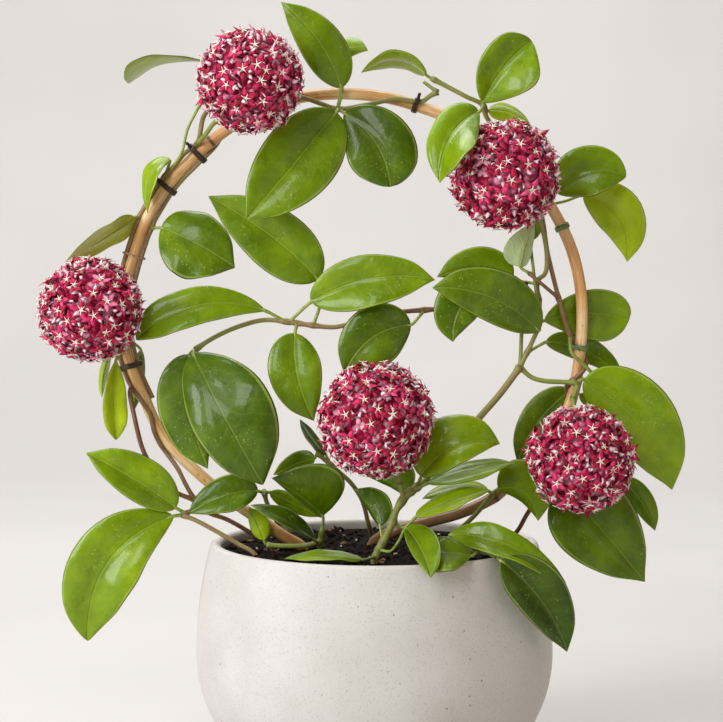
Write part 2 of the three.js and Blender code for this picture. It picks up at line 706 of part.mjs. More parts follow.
// Young shoot left of the middle of the soil: four leaves
const youngShoot = leafyStem('shoot_left_front', [
  { route: [...rooted(321, 551), [321, 540, -7], [322, 528, -11]] },
  { route: [[321, 541, -6], [308, 545, -8], [287, 546, -9], [266, 545, -9]] },
], [
  { // broad, folded up along its midrib
    stalk: [[321, 536, -9]], base: [323, 516, -14], bend: [301, 496, -20], tip: [271, 478, -22],
    left: [6, 12], right: [43, 4], widest: 0.3,
  },
  { // dark, low to the left
    stalk: [[321, 546, -4]], base: [314, 540, -14], bend: [284, 520, -24], tip: [250, 505, -26],
    left: [5, -8], right: [12, 10],
  },
  { // bright and small, over the soil
    stalk: [[266, 546, -9]], base: [264, 540, -10], bend: [258, 524, -9], tip: [249, 507, -8],
    left: [9, 3], right: [11, 3],
  },
]);

// Shoot behind the middle flower head: two leaves
const behindShoot = leafyStem('shoot_middle_back', [
  {
    route: [
      ...rooted(372, 541), [368, 522, 16], [362, 500, 10], [351, 483, 4], [338, 471, 1],
      [317, 453, -4],
    ],
  },
], [
  { // olive
    stalk: [[318, 454, -4]], base: [315, 458, -3], bend: [297, 463, -2], tip: [273, 475, -4],
    left: [10, 3], right: [11, 3],
  },
  { // narrow and dark, upright
    stalk: [[330, 464, 0]], base: [326, 455, -2], bend: [312, 438, -4], tip: [300, 419, -6],
    left: [6, 6], right: [5, -4],
  },
]);

// Shoot over the front right of the rim: three leaves
const frontShoot = leafyStem('shoot_front_right', [
  { route: [...rooted(452, 556), [462, 549, -40], [473, 551, -58], [486, 552, -64], [497, 556, -66]] },
], [
  { // long, over the rim
    stalk: [[462, 549, -40]], base: [450, 535, -46], bend: [507, 546, -64], tip: [566, 583, -62],
    left: [17, 6], right: [13, -10],
  },
  { // hangs down over the pot's side
    stalk: [[496, 556, -66]], base: [501, 561, -74], bend: [541, 601, -66], tip: [567, 652, -58],
    left: [31, 4], right: [22, -6],
  },
  { // low over the rim, pointing left
    stalk: [[480, 551, -61]], base: [471, 556, -74], bend: [446, 553, -80], tip: [413, 553, -72],
    left: [19, -16], right: [17, 10], widest: 0.55,
  },
]);

// Shoot beside the right flower head: two leaves
const lowRight = leafyStem('shoot_low_right', [
  { route: [...rooted(437, 549), [452, 536, -6], [474, 516, -12], [493, 494, -14]] },
], [
  { // dark and glossy
    stalk: [[493, 494, -14]], base: [498, 489, -17], bend: [524, 492, -20], tip: [538, 521, -20],
    left: [31, 9], right: [10, 4],
  },
  { // pale and glossy, pointing left
    stalk: [[492, 495, -14]], base: [488, 491, -18], bend: [456, 488, -22], tip: [422, 499, -24],
    left: [9, -4], right: [8, 8],
  },
]);

// Flower head: a round core closely set with florets, each a star of five
// pointed petals with a raised middle, on a short three-sided stalk
function floret(radius, towards, spin) {
  const position = [];
  const faces = [];
  const lift = new THREE.Quaternion().setFromUnitVectors(new THREE.Vector3(0, 0, 1), towards);
  const put = (reach, angle, height) => {
    const corner = new THREE.Vector3(reach * Math.cos(angle), reach * Math.sin(angle), height);
    corner.multiplyScalar(radius).applyQuaternion(lift);
    return position.push(corner.x, corner.y, corner.z) / 3 - 1;
  };
  const ring = (count, place) => Array.from({ length: count }, (unused, corner) => (
    place(corner, spin + (corner / count) * 2 * Math.PI)
  ));
  const top = put(0, 0, 1);
  const star = ring(10, (corner, angle) => {
    const { reach, height } = corner % 2 ? PETAL_NOTCH : PETAL_TIP;
    return put(reach, angle, height);
  });
  const neck = ring(3, (corner, angle) => put(PEDICEL.reach, angle, PEDICEL.top));
  const foot = ring(3, (corner, angle) => put(PEDICEL.reach, angle, PEDICEL.foot));
  star.forEach((corner, index) => {
    const next = star[(index + 1) % 10];
    const here = Math.round((index * 3) / 10) % 3;
    const after = Math.round(((index + 1) * 3) / 10) % 3;
    faces.push(corner, next, top, next, corner, neck[here]);
    if (here !== after) {
      faces.push(next, neck[here], neck[after]);
    }
  });
  neck.forEach((corner, index) => {
    const next = (index + 1) % 3;
    faces.push(neck[next], corner, foot[index], neck[next], foot[index], foot[next]);
  });
  faces.push(foot[0], foot[2], foot[1]);
  const geometry = new THREE.BufferGeometry();
  geometry.setAttribute('position', new THREE.Float32BufferAttribute(position, 3));
  geometry.setIndex(faces);
  return solid(geometry);
}

function makeBloom(head) {
  const radius = bloomRadius(head);
  const random = seeded(head.seed);
  let body = solid(new THREE.IcosahedronGeometry(radius * CORE_SHARE, 1));
  for (let index = 0; index < FLORET_COUNT; index += 1) {
    const height = 1 - (2 * index + 1) / FLORET_COUNT;
    const girth = Math.sqrt(1 - height * height);
    const around = index * Math.PI * (3 - Math.sqrt(5)) + head.seed;
    const towards = new THREE.Vector3(girth * Math.cos(around), girth * Math.sin(around), height);
    body = body.add(floret(radius, towards, random() * 2 * Math.PI));
  }
  const socket = stalkRoute(head, STALK_SHARE - 0.03);
  body = body.translate(seen(head.centre).toArray());
  body = body.subtract(solid(tube(socket, STEM_RADIUS + HOLE_CLEARANCE, STEM_SIDES, STEM_STEP)));
  return namedMesh(head.name, body, finish(0xa8173f, 0.6));
}

const blooms = [BLOOM_TOP_LEFT, BLOOM_LEFT, BLOOM_TOP_RIGHT, BLOOM_MIDDLE, BLOOM_RIGHT].map(makeBloom);

// Ties: bands of coated wire round the cane and the stems beside it
const TIE_CORNERS = 8;

function wrap(circles, clearance, corners) {
  const outline = [];
  for (let corner = 0; corner < corners; corner += 1) {
    const angle = (corner / corners) * 2 * Math.PI;
    const out = new THREE.Vector2(Math.cos(angle), Math.sin(angle));
    const reach = circles.map((circle) => circle.at.dot(out) + circle.radius);
    const widest = circles[reach.indexOf(Math.max(...reach))];
    outline.push(widest.at.clone().addScaledVector(out, widest.radius + clearance));
  }
  return outline;
}

function makeTie(name, across, down, angles) {
  const { centre, outward, nearer } = hoopFrame(across, down);
  const circles = [{ at: new THREE.Vector2(0, 0), radius: CANE_RADIUS }];
  angles.forEach((angle) => {
    const turn = THREE.MathUtils.degToRad(angle);
    const at = new THREE.Vector2(HUG * Math.cos(turn), HUG * Math.sin(turn));
    circles.push({ at, radius: STEM_RADIUS });
  });
  const band = (clearance, length) => {
    const shape = new THREE.Shape(wrap(circles, clearance, TIE_CORNERS));
    const geometry = new THREE.ExtrudeGeometry(shape, { depth: length, bevelEnabled: false });
    geometry.translate(0, 0, -length / 2);
    const axis = outward.clone().cross(nearer);
    const turn = new THREE.Matrix4().makeBasis(outward, nearer, axis).setPosition(centre);
    return solid(geometry.applyMatrix4(turn));
  };
  const inside = GAP + TIE_SLACK;
  const body = band(inside + TIE_THICKNESS, TIE_WIDTH).subtract(band(inside, TIE_WIDTH * 2));
  return namedMesh(name, body, finish(0x2c3320, 0.5));
}

const ties = [
  makeTie('tie_low_left', 131, 366, [0, 180]),
  makeTie('tie_left', 135, 256, [0, 180]),
  makeTie('tie_upper_left', 166, 187, [0, 180]),
  makeTie('tie_top_left', 197, 154, [20, 45, 185]),
  makeTie('tie_top_right', 416, 105, [65]),
  makeTie('tie_upper_right', 562, 227, []),
  makeTie('tie_right', 580, 347, [190, 225]),
];

// Pot: a round stoneware bowl with a flat foot
function potOutside(height) {
  const rise = height - POT_BELLY_HEIGHT;
  const rimShrink = 1 - (POT_RIM_RADIUS / POT_BELLY_RADIUS) ** 2;
  const rimCurve = (POT_HEIGHT - POT_BELLY_HEIGHT) / Math.sqrt(rimShrink);
  const curve = rise < 0 ? POT_FOOT_CURVE : rimCurve;
  return POT_BELLY_RADIUS * Math.sqrt(1 - (rise / curve) ** 2);
}

const POT_LEVELS = [0, 5, 16, 36, 60, 86, 110, 127.5];
const POT_SIDES = 32;

function makePot() {
  const inside = POT_LEVELS.filter((height) => height >= 12).reverse();
  const profile = [
    new THREE.Vector2(0, 0),
    ...POT_LEVELS.map((height) => new THREE.Vector2(potOutside(height), height)),
    new THREE.Vector2(POT_RIM_RADIUS - 1.5, POT_HEIGHT - 0.5),
    new THREE.Vector2(POT_RIM_RADIUS - POT_WALL / 2, POT_HEIGHT),
    new THREE.Vector2(POT_RIM_RADIUS - POT_WALL + 1.2, POT_HEIGHT - 0.6),
    ...inside.map((height) => new THREE.Vector2(potOutside(height) - POT_WALL, height)),
    new THREE.Vector2(potOutside(POT_FLOOR) - POT_WALL - 6, POT_FLOOR),
    new THREE.Vector2(0, POT_FLOOR),
  ];
  const bowl = new THREE.LatheGeometry(profile, POT_SIDES).rotateX(Math.PI / 2);
  return namedMesh('pot', solid(bowl), finish(0xe4dfd8, 0.6));
}

// Soil: dark potting mix with bits of bark, and a plain hole for each stem
function makeSoil() {
  const side = (height) => new THREE.Vector2(potOutside(height) - POT_WALL - GAP - 0.6, height);
  const profile = [
    new THREE.Vector2(0, POT_FLOOR + GAP),
    new THREE.Vector2(potOutside(POT_FLOOR) - POT_WALL - 8, POT_FLOOR + GAP),
    ...[16, 60, SOIL_HEIGHT - 1.5].map(side),
    new THREE.Vector2(potOutside(SOIL_HEIGHT) - POT_WALL - 6, SOIL_HEIGHT),
    new THREE.Vector2(0, SOIL_HEIGHT),
  ];
  let body = solid(new THREE.LatheGeometry(profile, POT_SIDES).rotateX(Math.PI / 2));
  const random = seeded(7);
  for (let index = 0; index < CHIP_COUNT; index += 1) {
    const around = index * 2.4;
    const reach = 10 + 62 * Math.sqrt((index + 0.5) / CHIP_COUNT);
    const size = 5 + 4 * random();
    const chip = new THREE.BoxGeometry(size * 1.5, size, 2.4);
    chip.rotateX(0.25 * (random() - 0.5)).rotateY(0.25 * (random() - 0.5)).rotateZ(6 * random());
    chip.translate(reach * Math.cos(around), reach * Math.sin(around), SOIL_HEIGHT + 0.3);
    body = body.add(solid(chip));
  }
  holes.forEach((hole) => {
    body = body.subtract(hole);
  });
  return namedMesh('soil', body, finish(0x2b1f18, 0.95));
}

const plant = new THREE.Group();
plant.name = 'potted_hoya';
plant.add(makePot(), makeHoop(), makeSoil());
plant.add(leftVine, middleShoot, trunkVine, rightVine, lowLeft, hiddenShoot, youngShoot);
plant.add(behindShoot, frontShoot, lowRight, ...blooms, ...ties);

export default plant;
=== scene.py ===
# A climbing hoya with five crimson flower heads, trained round a hoop of bent
# cane in a speckled stoneware bowl. Metres, +Z up, the pot's foot at the origin.
import math
import random
from collections import namedtuple

import bmesh
import bpy
import numpy as np
from mathutils import Matrix, Vector, noise
from mathutils.geometry import interpolate_bezier


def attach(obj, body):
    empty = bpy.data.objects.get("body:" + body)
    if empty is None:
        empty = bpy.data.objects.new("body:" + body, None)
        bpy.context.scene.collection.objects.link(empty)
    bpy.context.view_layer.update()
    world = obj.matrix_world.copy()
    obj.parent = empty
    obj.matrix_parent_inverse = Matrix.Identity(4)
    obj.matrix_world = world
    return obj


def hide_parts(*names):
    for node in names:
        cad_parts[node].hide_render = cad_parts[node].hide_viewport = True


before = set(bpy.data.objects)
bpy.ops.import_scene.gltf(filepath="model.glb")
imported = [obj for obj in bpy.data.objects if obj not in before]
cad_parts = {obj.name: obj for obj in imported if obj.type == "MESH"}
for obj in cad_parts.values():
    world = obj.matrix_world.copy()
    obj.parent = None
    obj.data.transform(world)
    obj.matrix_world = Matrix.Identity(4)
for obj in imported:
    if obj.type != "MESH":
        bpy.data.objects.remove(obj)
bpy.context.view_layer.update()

MM = 0.001

# The view: a long lens a little over a metre in front of the bowl, dipped a few
# degrees. Places on the plant are written as they are seen in this view: across
# and down in its pixels, then the depth behind the pot's axis in millimetres.
VIEW_WIDTH = 723
VIEW_MIDDLE = (361.5, 361)
VIEW_FOCAL = 2000
SENSOR_WIDTH = 36
EYE = Vector((-0.00715, -1.1, 0.296))
EYE_DIP = math.radians(3.47)


def placed(name, data):
    """A new object in the scene, with its data."""
    thing = bpy.data.objects.new(name, data)
    bpy.context.collection.objects.link(thing)
    return thing


camera_lens = bpy.data.cameras.new("camera")
camera_lens.sensor_width = SENSOR_WIDTH
camera_lens.lens = VIEW_FOCAL / VIEW_WIDTH * SENSOR_WIDTH
camera = placed("camera", camera_lens)
camera.location = EYE
camera.rotation_euler = (math.radians(90) - EYE_DIP, 0, 0)
bpy.context.scene.camera = camera


def sight(across, down):
    """The direction in which a place of the view is seen."""
    right = (across - VIEW_MIDDLE[0]) / VIEW_FOCAL
    up = (VIEW_MIDDLE[1] - down) / VIEW_FOCAL
    ahead = math.cos(EYE_DIP) + up * math.sin(EYE_DIP)
    return Vector((right, ahead, -math.sin(EYE_DIP) + up * math.cos(EYE_DIP)))


def seen(place):
    """The point at a place of the view; a point is passed on as it is."""
    if isinstance(place, Vector):
        return place.copy()
    across, down, depth = place
    ray = sight(across, down)
    return EYE + ray * ((depth * MM - EYE.y) / ray.y)


# Pot: a round bowl of cast stoneware with a flat foot and a soft rolled lip,
# bare and matte, with fine dark and sandy specks all through the clay. It is
# one outline turned round the axis.
POT_HEIGHT = 130 * MM
POT_RIM_RADIUS = 90 * MM
POT_BELLY_RADIUS = 98.6 * MM
POT_BELLY_HEIGHT = 68 * MM
POT_FOOT_CURVE = 85.5 * MM
POT_FOOT_EDGE = [(2 * MM, 0), (0.5 * MM, 0.3 * MM)]
POT_SIDE_FROM = 1 * MM
POT_WALL = 6 * MM
POT_FLOOR = 8 * MM
POT_FLOOR_CURVE = (6 * MM, 4 * MM)
POT_LEVELS = 44
POT_TURN_STEPS = 128
LIP_STEPS = 10
WELD = 1e-6


def pot_outside(height):
    """The pot's outer radius at a height."""
    rise = height - POT_BELLY_HEIGHT
    rim_shrink = 1 - (POT_RIM_RADIUS / POT_BELLY_RADIUS) ** 2
    rim_curve = (POT_HEIGHT - POT_BELLY_HEIGHT) / math.sqrt(rim_shrink)
    curve = POT_FOOT_CURVE if rise < 0 else rim_curve
    return POT_BELLY_RADIUS * math.sqrt(1 - (rise / curve) ** 2)


def turned(outline, steps):
    """A closed solid from an outline that starts and ends on the axis."""
    bm = bmesh.new()
    verts = [bm.verts.new((radius, 0, height)) for radius, height in outline]
    edges = [bm.edges.new(pair) for pair in zip(verts, verts[1:])]
    bmesh.ops.spin(
        bm, geom=verts + edges, cent=(0, 0, 0), axis=(0, 0, 1), dvec=(0, 0, 0),
        angle=math.tau, steps=steps, use_merge=True, use_duplicate=False,
    )
    bmesh.ops.remove_doubles(bm, verts=bm.verts, dist=WELD)
    bmesh.ops.recalc_face_normals(bm, faces=bm.faces)
    return bm


def kept_mesh(name, bm, materials=()):
    """The smooth mesh data of a finished bmesh, with its materials."""
    mesh = bpy.data.meshes.new(name)
    for face in bm.faces:
        face.smooth = True
    bm.to_mesh(mesh)
    bm.free()
    for material in materials:
        mesh.materials.append(material)
    return mesh


def add_piece(name, bm, materials, slot, *nodes):
    """Makes a finished mesh a piece of the plant that stands for CAD nodes."""
    piece = placed(name, kept_mesh(name, bm, materials))
    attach(piece, "root")
    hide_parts(*nodes)


def rgb(*levels):
    """A colour from its 0 to 255 screen levels."""
    shares = [level / 255 for level in levels]
    linear = [s / 12.92 if s < 0.04 else ((s + 0.055) / 1.055) ** 2.4 for s in shares]
    return (*linear, 1)


def new_material(name, **sockets):
    """A material and its node tree, with fixed sockets of its shader set."""
    material = bpy.data.materials.new(name)
    material.use_nodes = True
    shader = material.node_tree.nodes["Principled BSDF"]
    for socket, value in sockets.items():
        shader.inputs[socket.replace("_", " ")].default_value = value
    return material, material.node_tree


def node(tree, kind, inputs=None, **settings):
    """A shader node with its settings made and its inputs set or linked."""
    made = tree.nodes.new("ShaderNode" + kind)
    for setting, value in settings.items():
        setattr(made, setting, value)
    for socket, value in (inputs or {}).items():
        if isinstance(value, bpy.types.NodeSocket):
            tree.links.new(value, made.inputs[socket])
        else:
            made.inputs[socket].default_value = value
    return made


def object_place(tree):
    """Where a point is on the whole plant, in metres."""
    return node(tree, "TexCoord").outputs["Object"]


def calc(tree, operation, *values):
    return node(tree, "Math", dict(enumerate(values)), operation=operation).outputs[0]


def fade(tree, value, low, high, start=0.0, end=1.0):
    """Goes smoothly from start to end as a value goes from low to high."""
    inputs = {"Value": value, "From Min": low, "From Max": high, "To Min": start, "To Max": end}
    return node(tree, "MapRange", inputs, interpolation_type="SMOOTHSTEP").outputs[0]


def ramp(tree, value, *stops):
    """A colour ramp through stops of (position, red, green, blue)."""
    made = node(tree, "ValToRGB", {"Fac": value})
    points = made.color_ramp.elements
    for point, (position, *levels) in zip(points, (stops[0], stops[-1])):
        point.position, point.color = position, rgb(*levels)
    for position, *levels in stops[1:-1]:
        points.new(position).color = rgb(*levels)
    return made.outputs["Color"]


def tinted(tree, colour, *coats):
    """A colour under coats of (where, how much, red, green, blue), one on the other."""
    for where, share, *levels in coats:
        inputs = {0: calc(tree, "MULTIPLY", where, share), 6: colour, 7: rgb(*levels)}
        colour = node(tree, "Mix", inputs, data_type="RGBA").outputs[2]
    return colour


def grain(tree, where, scale, detail=3.0, rough=0.5):
    """Soft noise with a number of lumps to the metre."""
    inputs = {"Vector": where, "Scale": scale, "Detail": detail, "Roughness": rough}
    return node(tree, "TexNoise", inputs).outputs["Fac"]


def specks(tree, where, scale, size, share):
    """Round specks, one in some of the cells of a scattered net."""
    cells = node(tree, "TexVoronoi", {"Vector": where, "Scale": scale})
    pick = node(tree, "SeparateColor", {"Color": cells.outputs["Color"]})
    spread = calc(tree, "MULTIPLY", pick.outputs[1], size)
    spot = calc(tree, "LESS_THAN", cells.outputs["Distance"], spread)
    chosen = calc(tree, "LESS_THAN", pick.outputs[0], share)
    return calc(tree, "MULTIPLY", spot, chosen)


def surface(tree, colour, *layers, roughness=None):
    """Feeds a colour, a roughness and bump of (height, depth in metres) layers."""
    inputs = tree.nodes["Principled BSDF"].inputs
    tree.links.new(colour, inputs["Base Color"])
    if roughness is not None:
        tree.links.new(roughness, inputs["Roughness"])
    normal = {}
    for height, depth in layers:
        bump = node(tree, "Bump", {"Height": height, "Strength": 1.0, "Distance": depth, **normal})
        normal = {"Normal": bump.outputs[0]}
    if normal:
        tree.links.new(normal["Normal"], inputs["Normal"])


lip_radius = POT_WALL / 2
lip_height = POT_HEIGHT - lip_radius
side_rise = lip_height - POT_SIDE_FROM
pot_heights = [POT_SIDE_FROM + side_rise * step / POT_LEVELS for step in range(POT_LEVELS + 1)]
lip_middle = pot_outside(lip_height) - lip_radius
lip_turns = [math.pi * step / LIP_STEPS for step in range(1, LIP_STEPS)]
floor_in, floor_up = POT_FLOOR_CURVE
inner_heights = [height for height in reversed(pot_heights) if height > POT_FLOOR + floor_up]
pot_outline = [
    (0, 0),
    *[(pot_outside(0) - inward, height) for inward, height in POT_FOOT_EDGE],
    *[(pot_outside(height), height) for height in pot_heights],
    *[(lip_middle + lip_radius * math.cos(turn), lip_height + lip_radius * math.sin(turn))
      for turn in lip_turns],
    *[(pot_outside(height) - POT_WALL, height) for height in inner_heights],
    (pot_outside(POT_FLOOR) - POT_WALL - floor_in, POT_FLOOR), (0, POT_FLOOR),
]
stoneware, tree = new_material("speckled_stoneware", Roughness=0.55)
where = object_place(tree)
clouds = grain(tree, where, 26, 5.0, 0.6)
clay = ramp(tree, clouds, (0.3, 202, 197, 193), (0.7, 215, 211, 208))
dark = specks(tree, where, 330, 0.22, 0.12)
height_above = node(tree, "SeparateXYZ", {"Vector": where}).outputs["Z"]
clay = tinted(
    tree, clay,
    (specks(tree, where, 900, 0.42, 0.4), 0.32, 174, 158, 144),
    (specks(tree, where, 1150, 0.42, 0.42), 0.36, 132, 120, 110),
    (dark, 0.6, 88, 76, 68),
    (fade(tree, height_above, lip_height + 1.2 * MM, POT_HEIGHT), 0.5, 240, 237, 232),
)
surface(
    tree, clay,
    (grain(tree, where, 900, 2.0), 0.12 * MM),
    (grain(tree, where, 90, 4.0), 0.3 * MM),
    (calc(tree, "SUBTRACT", 1.0, dark), 0.15 * MM),
    roughness=fade(tree, clouds, 0.2, 0.8, 0.48, 0.62),
)
add_piece("stoneware_bowl", turned(pot_outline, POT_TURN_STEPS), [stoneware], "pot", "pot")


# Soil: dark potting mix that fills the bowl to just under the lip, lumpy on top
# and strewn with chips of bark and a few grains of white perlite.
SOIL_HEIGHT = 124 * MM
SOIL_GAP = 0.95 * MM
SOIL_FLOOR = POT_FLOOR + 0.35 * MM
SOIL_LEVELS = [height * MM for height in (16, 30, 45, 60, 75, 90, 105, 115, 122.5)]
SOIL_RINGS = 26
SOIL_TURN_STEPS = 96
SOIL_LUMP = 2.2 * MM
SOIL_LUMPS_TO_THE_METRE = (70, 190)
SOIL_EDGE = 8 * MM
SOIL_FLOOR_CURVE = 8 * MM
SOIL_SHOULDER, SOIL_SHOULDER_DROP = 0.8 * MM, 1.5 * MM
# kinds of chips: how many, the smallest and the largest in mm, how flat, the finish
CHIP_KINDS = [
    (210, 2.2, 6.5, 0.45, 1), (36, 1.8, 4.5, 0.5, 2), (26, 1.0, 2.2, 0.85, 3), (700, 0.8, 2.2, 0.8, 0),
]
CHIP_REACH = 80 * MM
CHIP_ROUGH = (0.7, 1.25)
CHIP_STRETCH = (1.35, 0.85)
CHIP_LEAN = (0.35, 0.3)
CHIP_LIFT = 0.2


def soil_lump(x, y):
    """How far the soil's top rises or sinks at a place."""
    edge = min(1, (soil_radius - math.hypot(x, y)) / SOIL_EDGE)
    coarse, fine = (noise.noise(Vector((x, y, 0)) * rate) for rate in SOIL_LUMPS_TO_THE_METRE)
    return SOIL_LUMP * max(0, edge) * (coarse + 0.5 * fine)


def soil_side(height):
    return pot_outside(height) - POT_WALL - SOIL_GAP


def give_finish(verts, kind):
    """Gives the faces round some points one of a piece's finishes."""
    faces = list(dict.fromkeys(face for vert in verts for face in vert.link_faces))
    for face in faces:
        face.material_index = kind
    return faces


soil_radius = soil_side(SOIL_HEIGHT - SOIL_SHOULDER_DROP)
soil_outline = [
    (0, SOIL_FLOOR), (pot_outside(POT_FLOOR) - POT_WALL - SOIL_FLOOR_CURVE, SOIL_FLOOR),
    *[(soil_side(height), height) for height in SOIL_LEVELS],
    *[(soil_radius * (1 - ring / SOIL_RINGS) - SOIL_SHOULDER * (ring < SOIL_RINGS), SOIL_HEIGHT)
      for ring in range(SOIL_RINGS + 1)],
]
bm = turned(soil_outline, SOIL_TURN_STEPS)
for vert in bm.verts:
    if vert.co.z > SOIL_HEIGHT - 0.1 * MM:
        vert.co.z += soil_lump(vert.co.x, vert.co.y)
draw = random.Random(71)
for count, smallest, largest, flat, kind in CHIP_KINDS:
    for index in range(count):
        reach = CHIP_REACH * math.sqrt(draw.random())
        around = draw.uniform(0, math.tau)
        x, y = reach * math.cos(around), reach * math.sin(around)
        size = draw.uniform(smallest, largest) * MM
        verts = bmesh.ops.create_icosphere(bm, subdivisions=1, radius=size / 2)["verts"]
        for vert in verts:
            vert.co *= draw.uniform(*CHIP_ROUGH)
        bmesh.ops.scale(bm, vec=(*CHIP_STRETCH, flat), verts=verts)
        turn = Matrix.Rotation(draw.uniform(0, math.tau), 3, "Z")
        for lean, axis in zip(CHIP_LEAN, "XY"):
            turn = turn @ Matrix.Rotation(draw.gauss(0, lean), 3, axis)
        bmesh.ops.rotate(bm, cent=(0, 0, 0), matrix=turn, verts=verts)
        rise = SOIL_HEIGHT + soil_lump(x, y) + size * flat * CHIP_LIFT
        bmesh.ops.translate(bm, vec=(x, y, rise), verts=verts)
        give_finish(verts, kind)


def crumbly(name, low, high, scale, depth):
    """Dry broken matter that goes between two colours."""
    material, tree = new_material(name, Roughness=0.92, Specular_IOR_Level=0.15)
    where = object_place(tree)
    colour = ramp(tree, grain(tree, where, scale, 5.0, 0.65), (0.32, *low), (0.68, *high))
    surface(tree, colour, (grain(tree, where, scale * 6, 4.0, 0.7), depth * MM))
    return material


soil_finishes = [
    crumbly("dark_potting_mix", (5, 3, 2), (26, 18, 13), 210, 0.9),
    crumbly("dark_bark", (12, 7, 5), (46, 30, 21), 260, 0.6),
    crumbly("pale_bark", (96, 70, 50), (164, 130, 96), 240, 0.5),
    crumbly("perlite", (196, 190, 178), (232, 228, 218), 500, 0.4),
]
add_piece("potting_mix", bm, soil_finishes, "soil", "soil")


# Hoop: one long piece of peeled cane, bent into a ring, its two ends pushed
# deep into the soil. A ridge with a brown line marks each of the cane's joints.
CANE_RADIUS = 3.2 * MM
CANE_STEP = 2.5 * MM
CANE_SIDES = 16
CANE_UNEVEN = 0.03
CURVE_STEPS = 14
SOIL_DEPTH = 34 * MM
CANE_JOINTS = [(124, 330), (210, 138), (528, 174), (576, 380), (494, 497)]
JOINT_RISE, JOINT_RIDGE = 0.1, 2.6 * MM
JOINT_LINE = 1.7 * MM
JOINT_GLOW = 14 * MM
STAIN_AND_SHADE_FROM, STAIN_AND_SHADE_OVER = 0.82, 0.08
HOOP_SEEN = [
    (285, 537), (262, 521), (235, 503), (212, 485), (196, 471), (179, 455), (167, 441), (157, 426),
    (150, 411), (144, 397), (137, 382), (131, 366), (124, 340), (122, 315), (125, 290), (130, 270),
    (138, 243), (147, 219), (155, 205), (165, 189), (178, 173), (190, 161), (200, 151), (221, 134),
    (250, 115), (275, 104), (303, 97), (330, 94), (352, 94), (375, 96), (397, 100), (420, 107),
    (440, 114), (470, 126), (500, 147), (528, 174), (549, 204), (562, 227), (573, 254), (580, 285),
    (582, 316), (580, 350), (575, 386), (567, 412), (555, 434), (542, 452), (527, 469), (510, 484),
    (494, 497), (475, 507), (454, 515), (435, 520), (416, 525), (395, 531),
]


def on_soil(across, down):
    """The point of the soil's level that shows at a place of the view."""
    ray = sight(across, down)
    return EYE + ray * ((SOIL_HEIGHT - EYE.z) / ray.z)


def rooted(across, down):
    """The foot of a stem, from its end in the soil up to where it comes out."""
    return [on_soil(across, down) + Vector((0, 0, rise)) for rise in (-SOIL_DEPTH, -SOIL_DEPTH / 2, 0)]


def smooth_line(points, step):
    """Evenly spaced points on a smooth line through given ones."""
    points = [seen(point) for point in points]
    ends = [points[0] * 2 - points[1], *points, points[-1] * 2 - points[-2]]
    line = []
    for before, start, end, after in zip(ends, ends[1:], ends[2:], ends[3:]):
        near = math.sqrt((start - before).length)
        here = math.sqrt((end - start).length)
        far = math.sqrt((after - end).length)
        leave = (start - before) / near - (end - before) / (near + here) + (end - start) / here
        arrive = (end - start) / here - (after - start) / (here + far) + (after - end) / far
        reach = here / 3
        handles = (start + leave * reach, end - arrive * reach)
        line += interpolate_bezier(start, *handles, end, CURVE_STEPS)[:-1]
    places = np.array([*line, points[-1]])
    run = np.concatenate([[0], np.cumsum(np.linalg.norm(np.diff(places, axis=0), axis=1))])
    even = np.linspace(0, run[-1], max(2, round(run[-1] / step)) + 1)
    return [Vector(place) for place in zip(*(np.interp(even, run, axis) for axis in places.T))]


def carried_frames(line):
    """Two directions across a line at each point, carried along it without a twist."""
    last = len(line) - 1
    alongs = [line[min(i + 1, last)] - line[max(i - 1, 0)] for i in range(last + 1)]
    side = alongs[0].orthogonal()
    frames = []
    for along in alongs:
        along.normalize()
        side = (side - along * side.dot(along)).normalized()
        frames.append((side, along.cross(side)))
    return frames


def new_growth():
    """A mesh whose points carry a place on their own skin and a look."""
    bm = bmesh.new()
    for layer in ("skin", "look"):
        bm.verts.layers.float_vector.new(layer)
    return bm


def growth_layers(bm):
    return [bm.verts.layers.float_vector[layer] for layer in ("skin", "look")]


def add_tube(bm, line, radii, sides, kind=0, looks=(0, 0, 0)):
    """A closed round tube along a line, from a grid that is rolled up round it."""
    skin, look = growth_layers(bm)
    looks = looks if isinstance(looks, list) else [looks] * len(line)
    frames = carried_frames(line)
    line, looks, frames = ([row[0], *row, row[-1]] for row in (line, looks, frames))
    radii = [0, *radii, 0]
    runs = [0.0]
    for start, end in zip(line, line[1:]):
        runs.append(runs[-1] + (end - start).length)
    rings = len(line) - 1
    verts = bmesh.ops.create_grid(bm, x_segments=rings, y_segments=sides, size=1)["verts"]
    for vert in verts:
        ring = round((vert.co.x + 1) / 2 * rings)
        angle = -math.pi * vert.co.y
        beside, above = frames[ring]
        out = beside * math.cos(angle) + above * math.sin(angle)
        vert.co = line[ring] + out * radii[ring]
        vert[skin] = (radii[ring] * math.cos(angle), radii[ring] * math.sin(angle), runs[ring])
        vert[look] = looks[ring]
    give_finish(verts, kind)
    bmesh.ops.remove_doubles(bm, verts=verts, dist=WELD)


def nearness(point, places, reach):
    """1 at one of the places, and down to 0 a few reaches away from all."""
    return max((math.exp(-((point - place).length / reach) ** 2) for place in places), default=0)


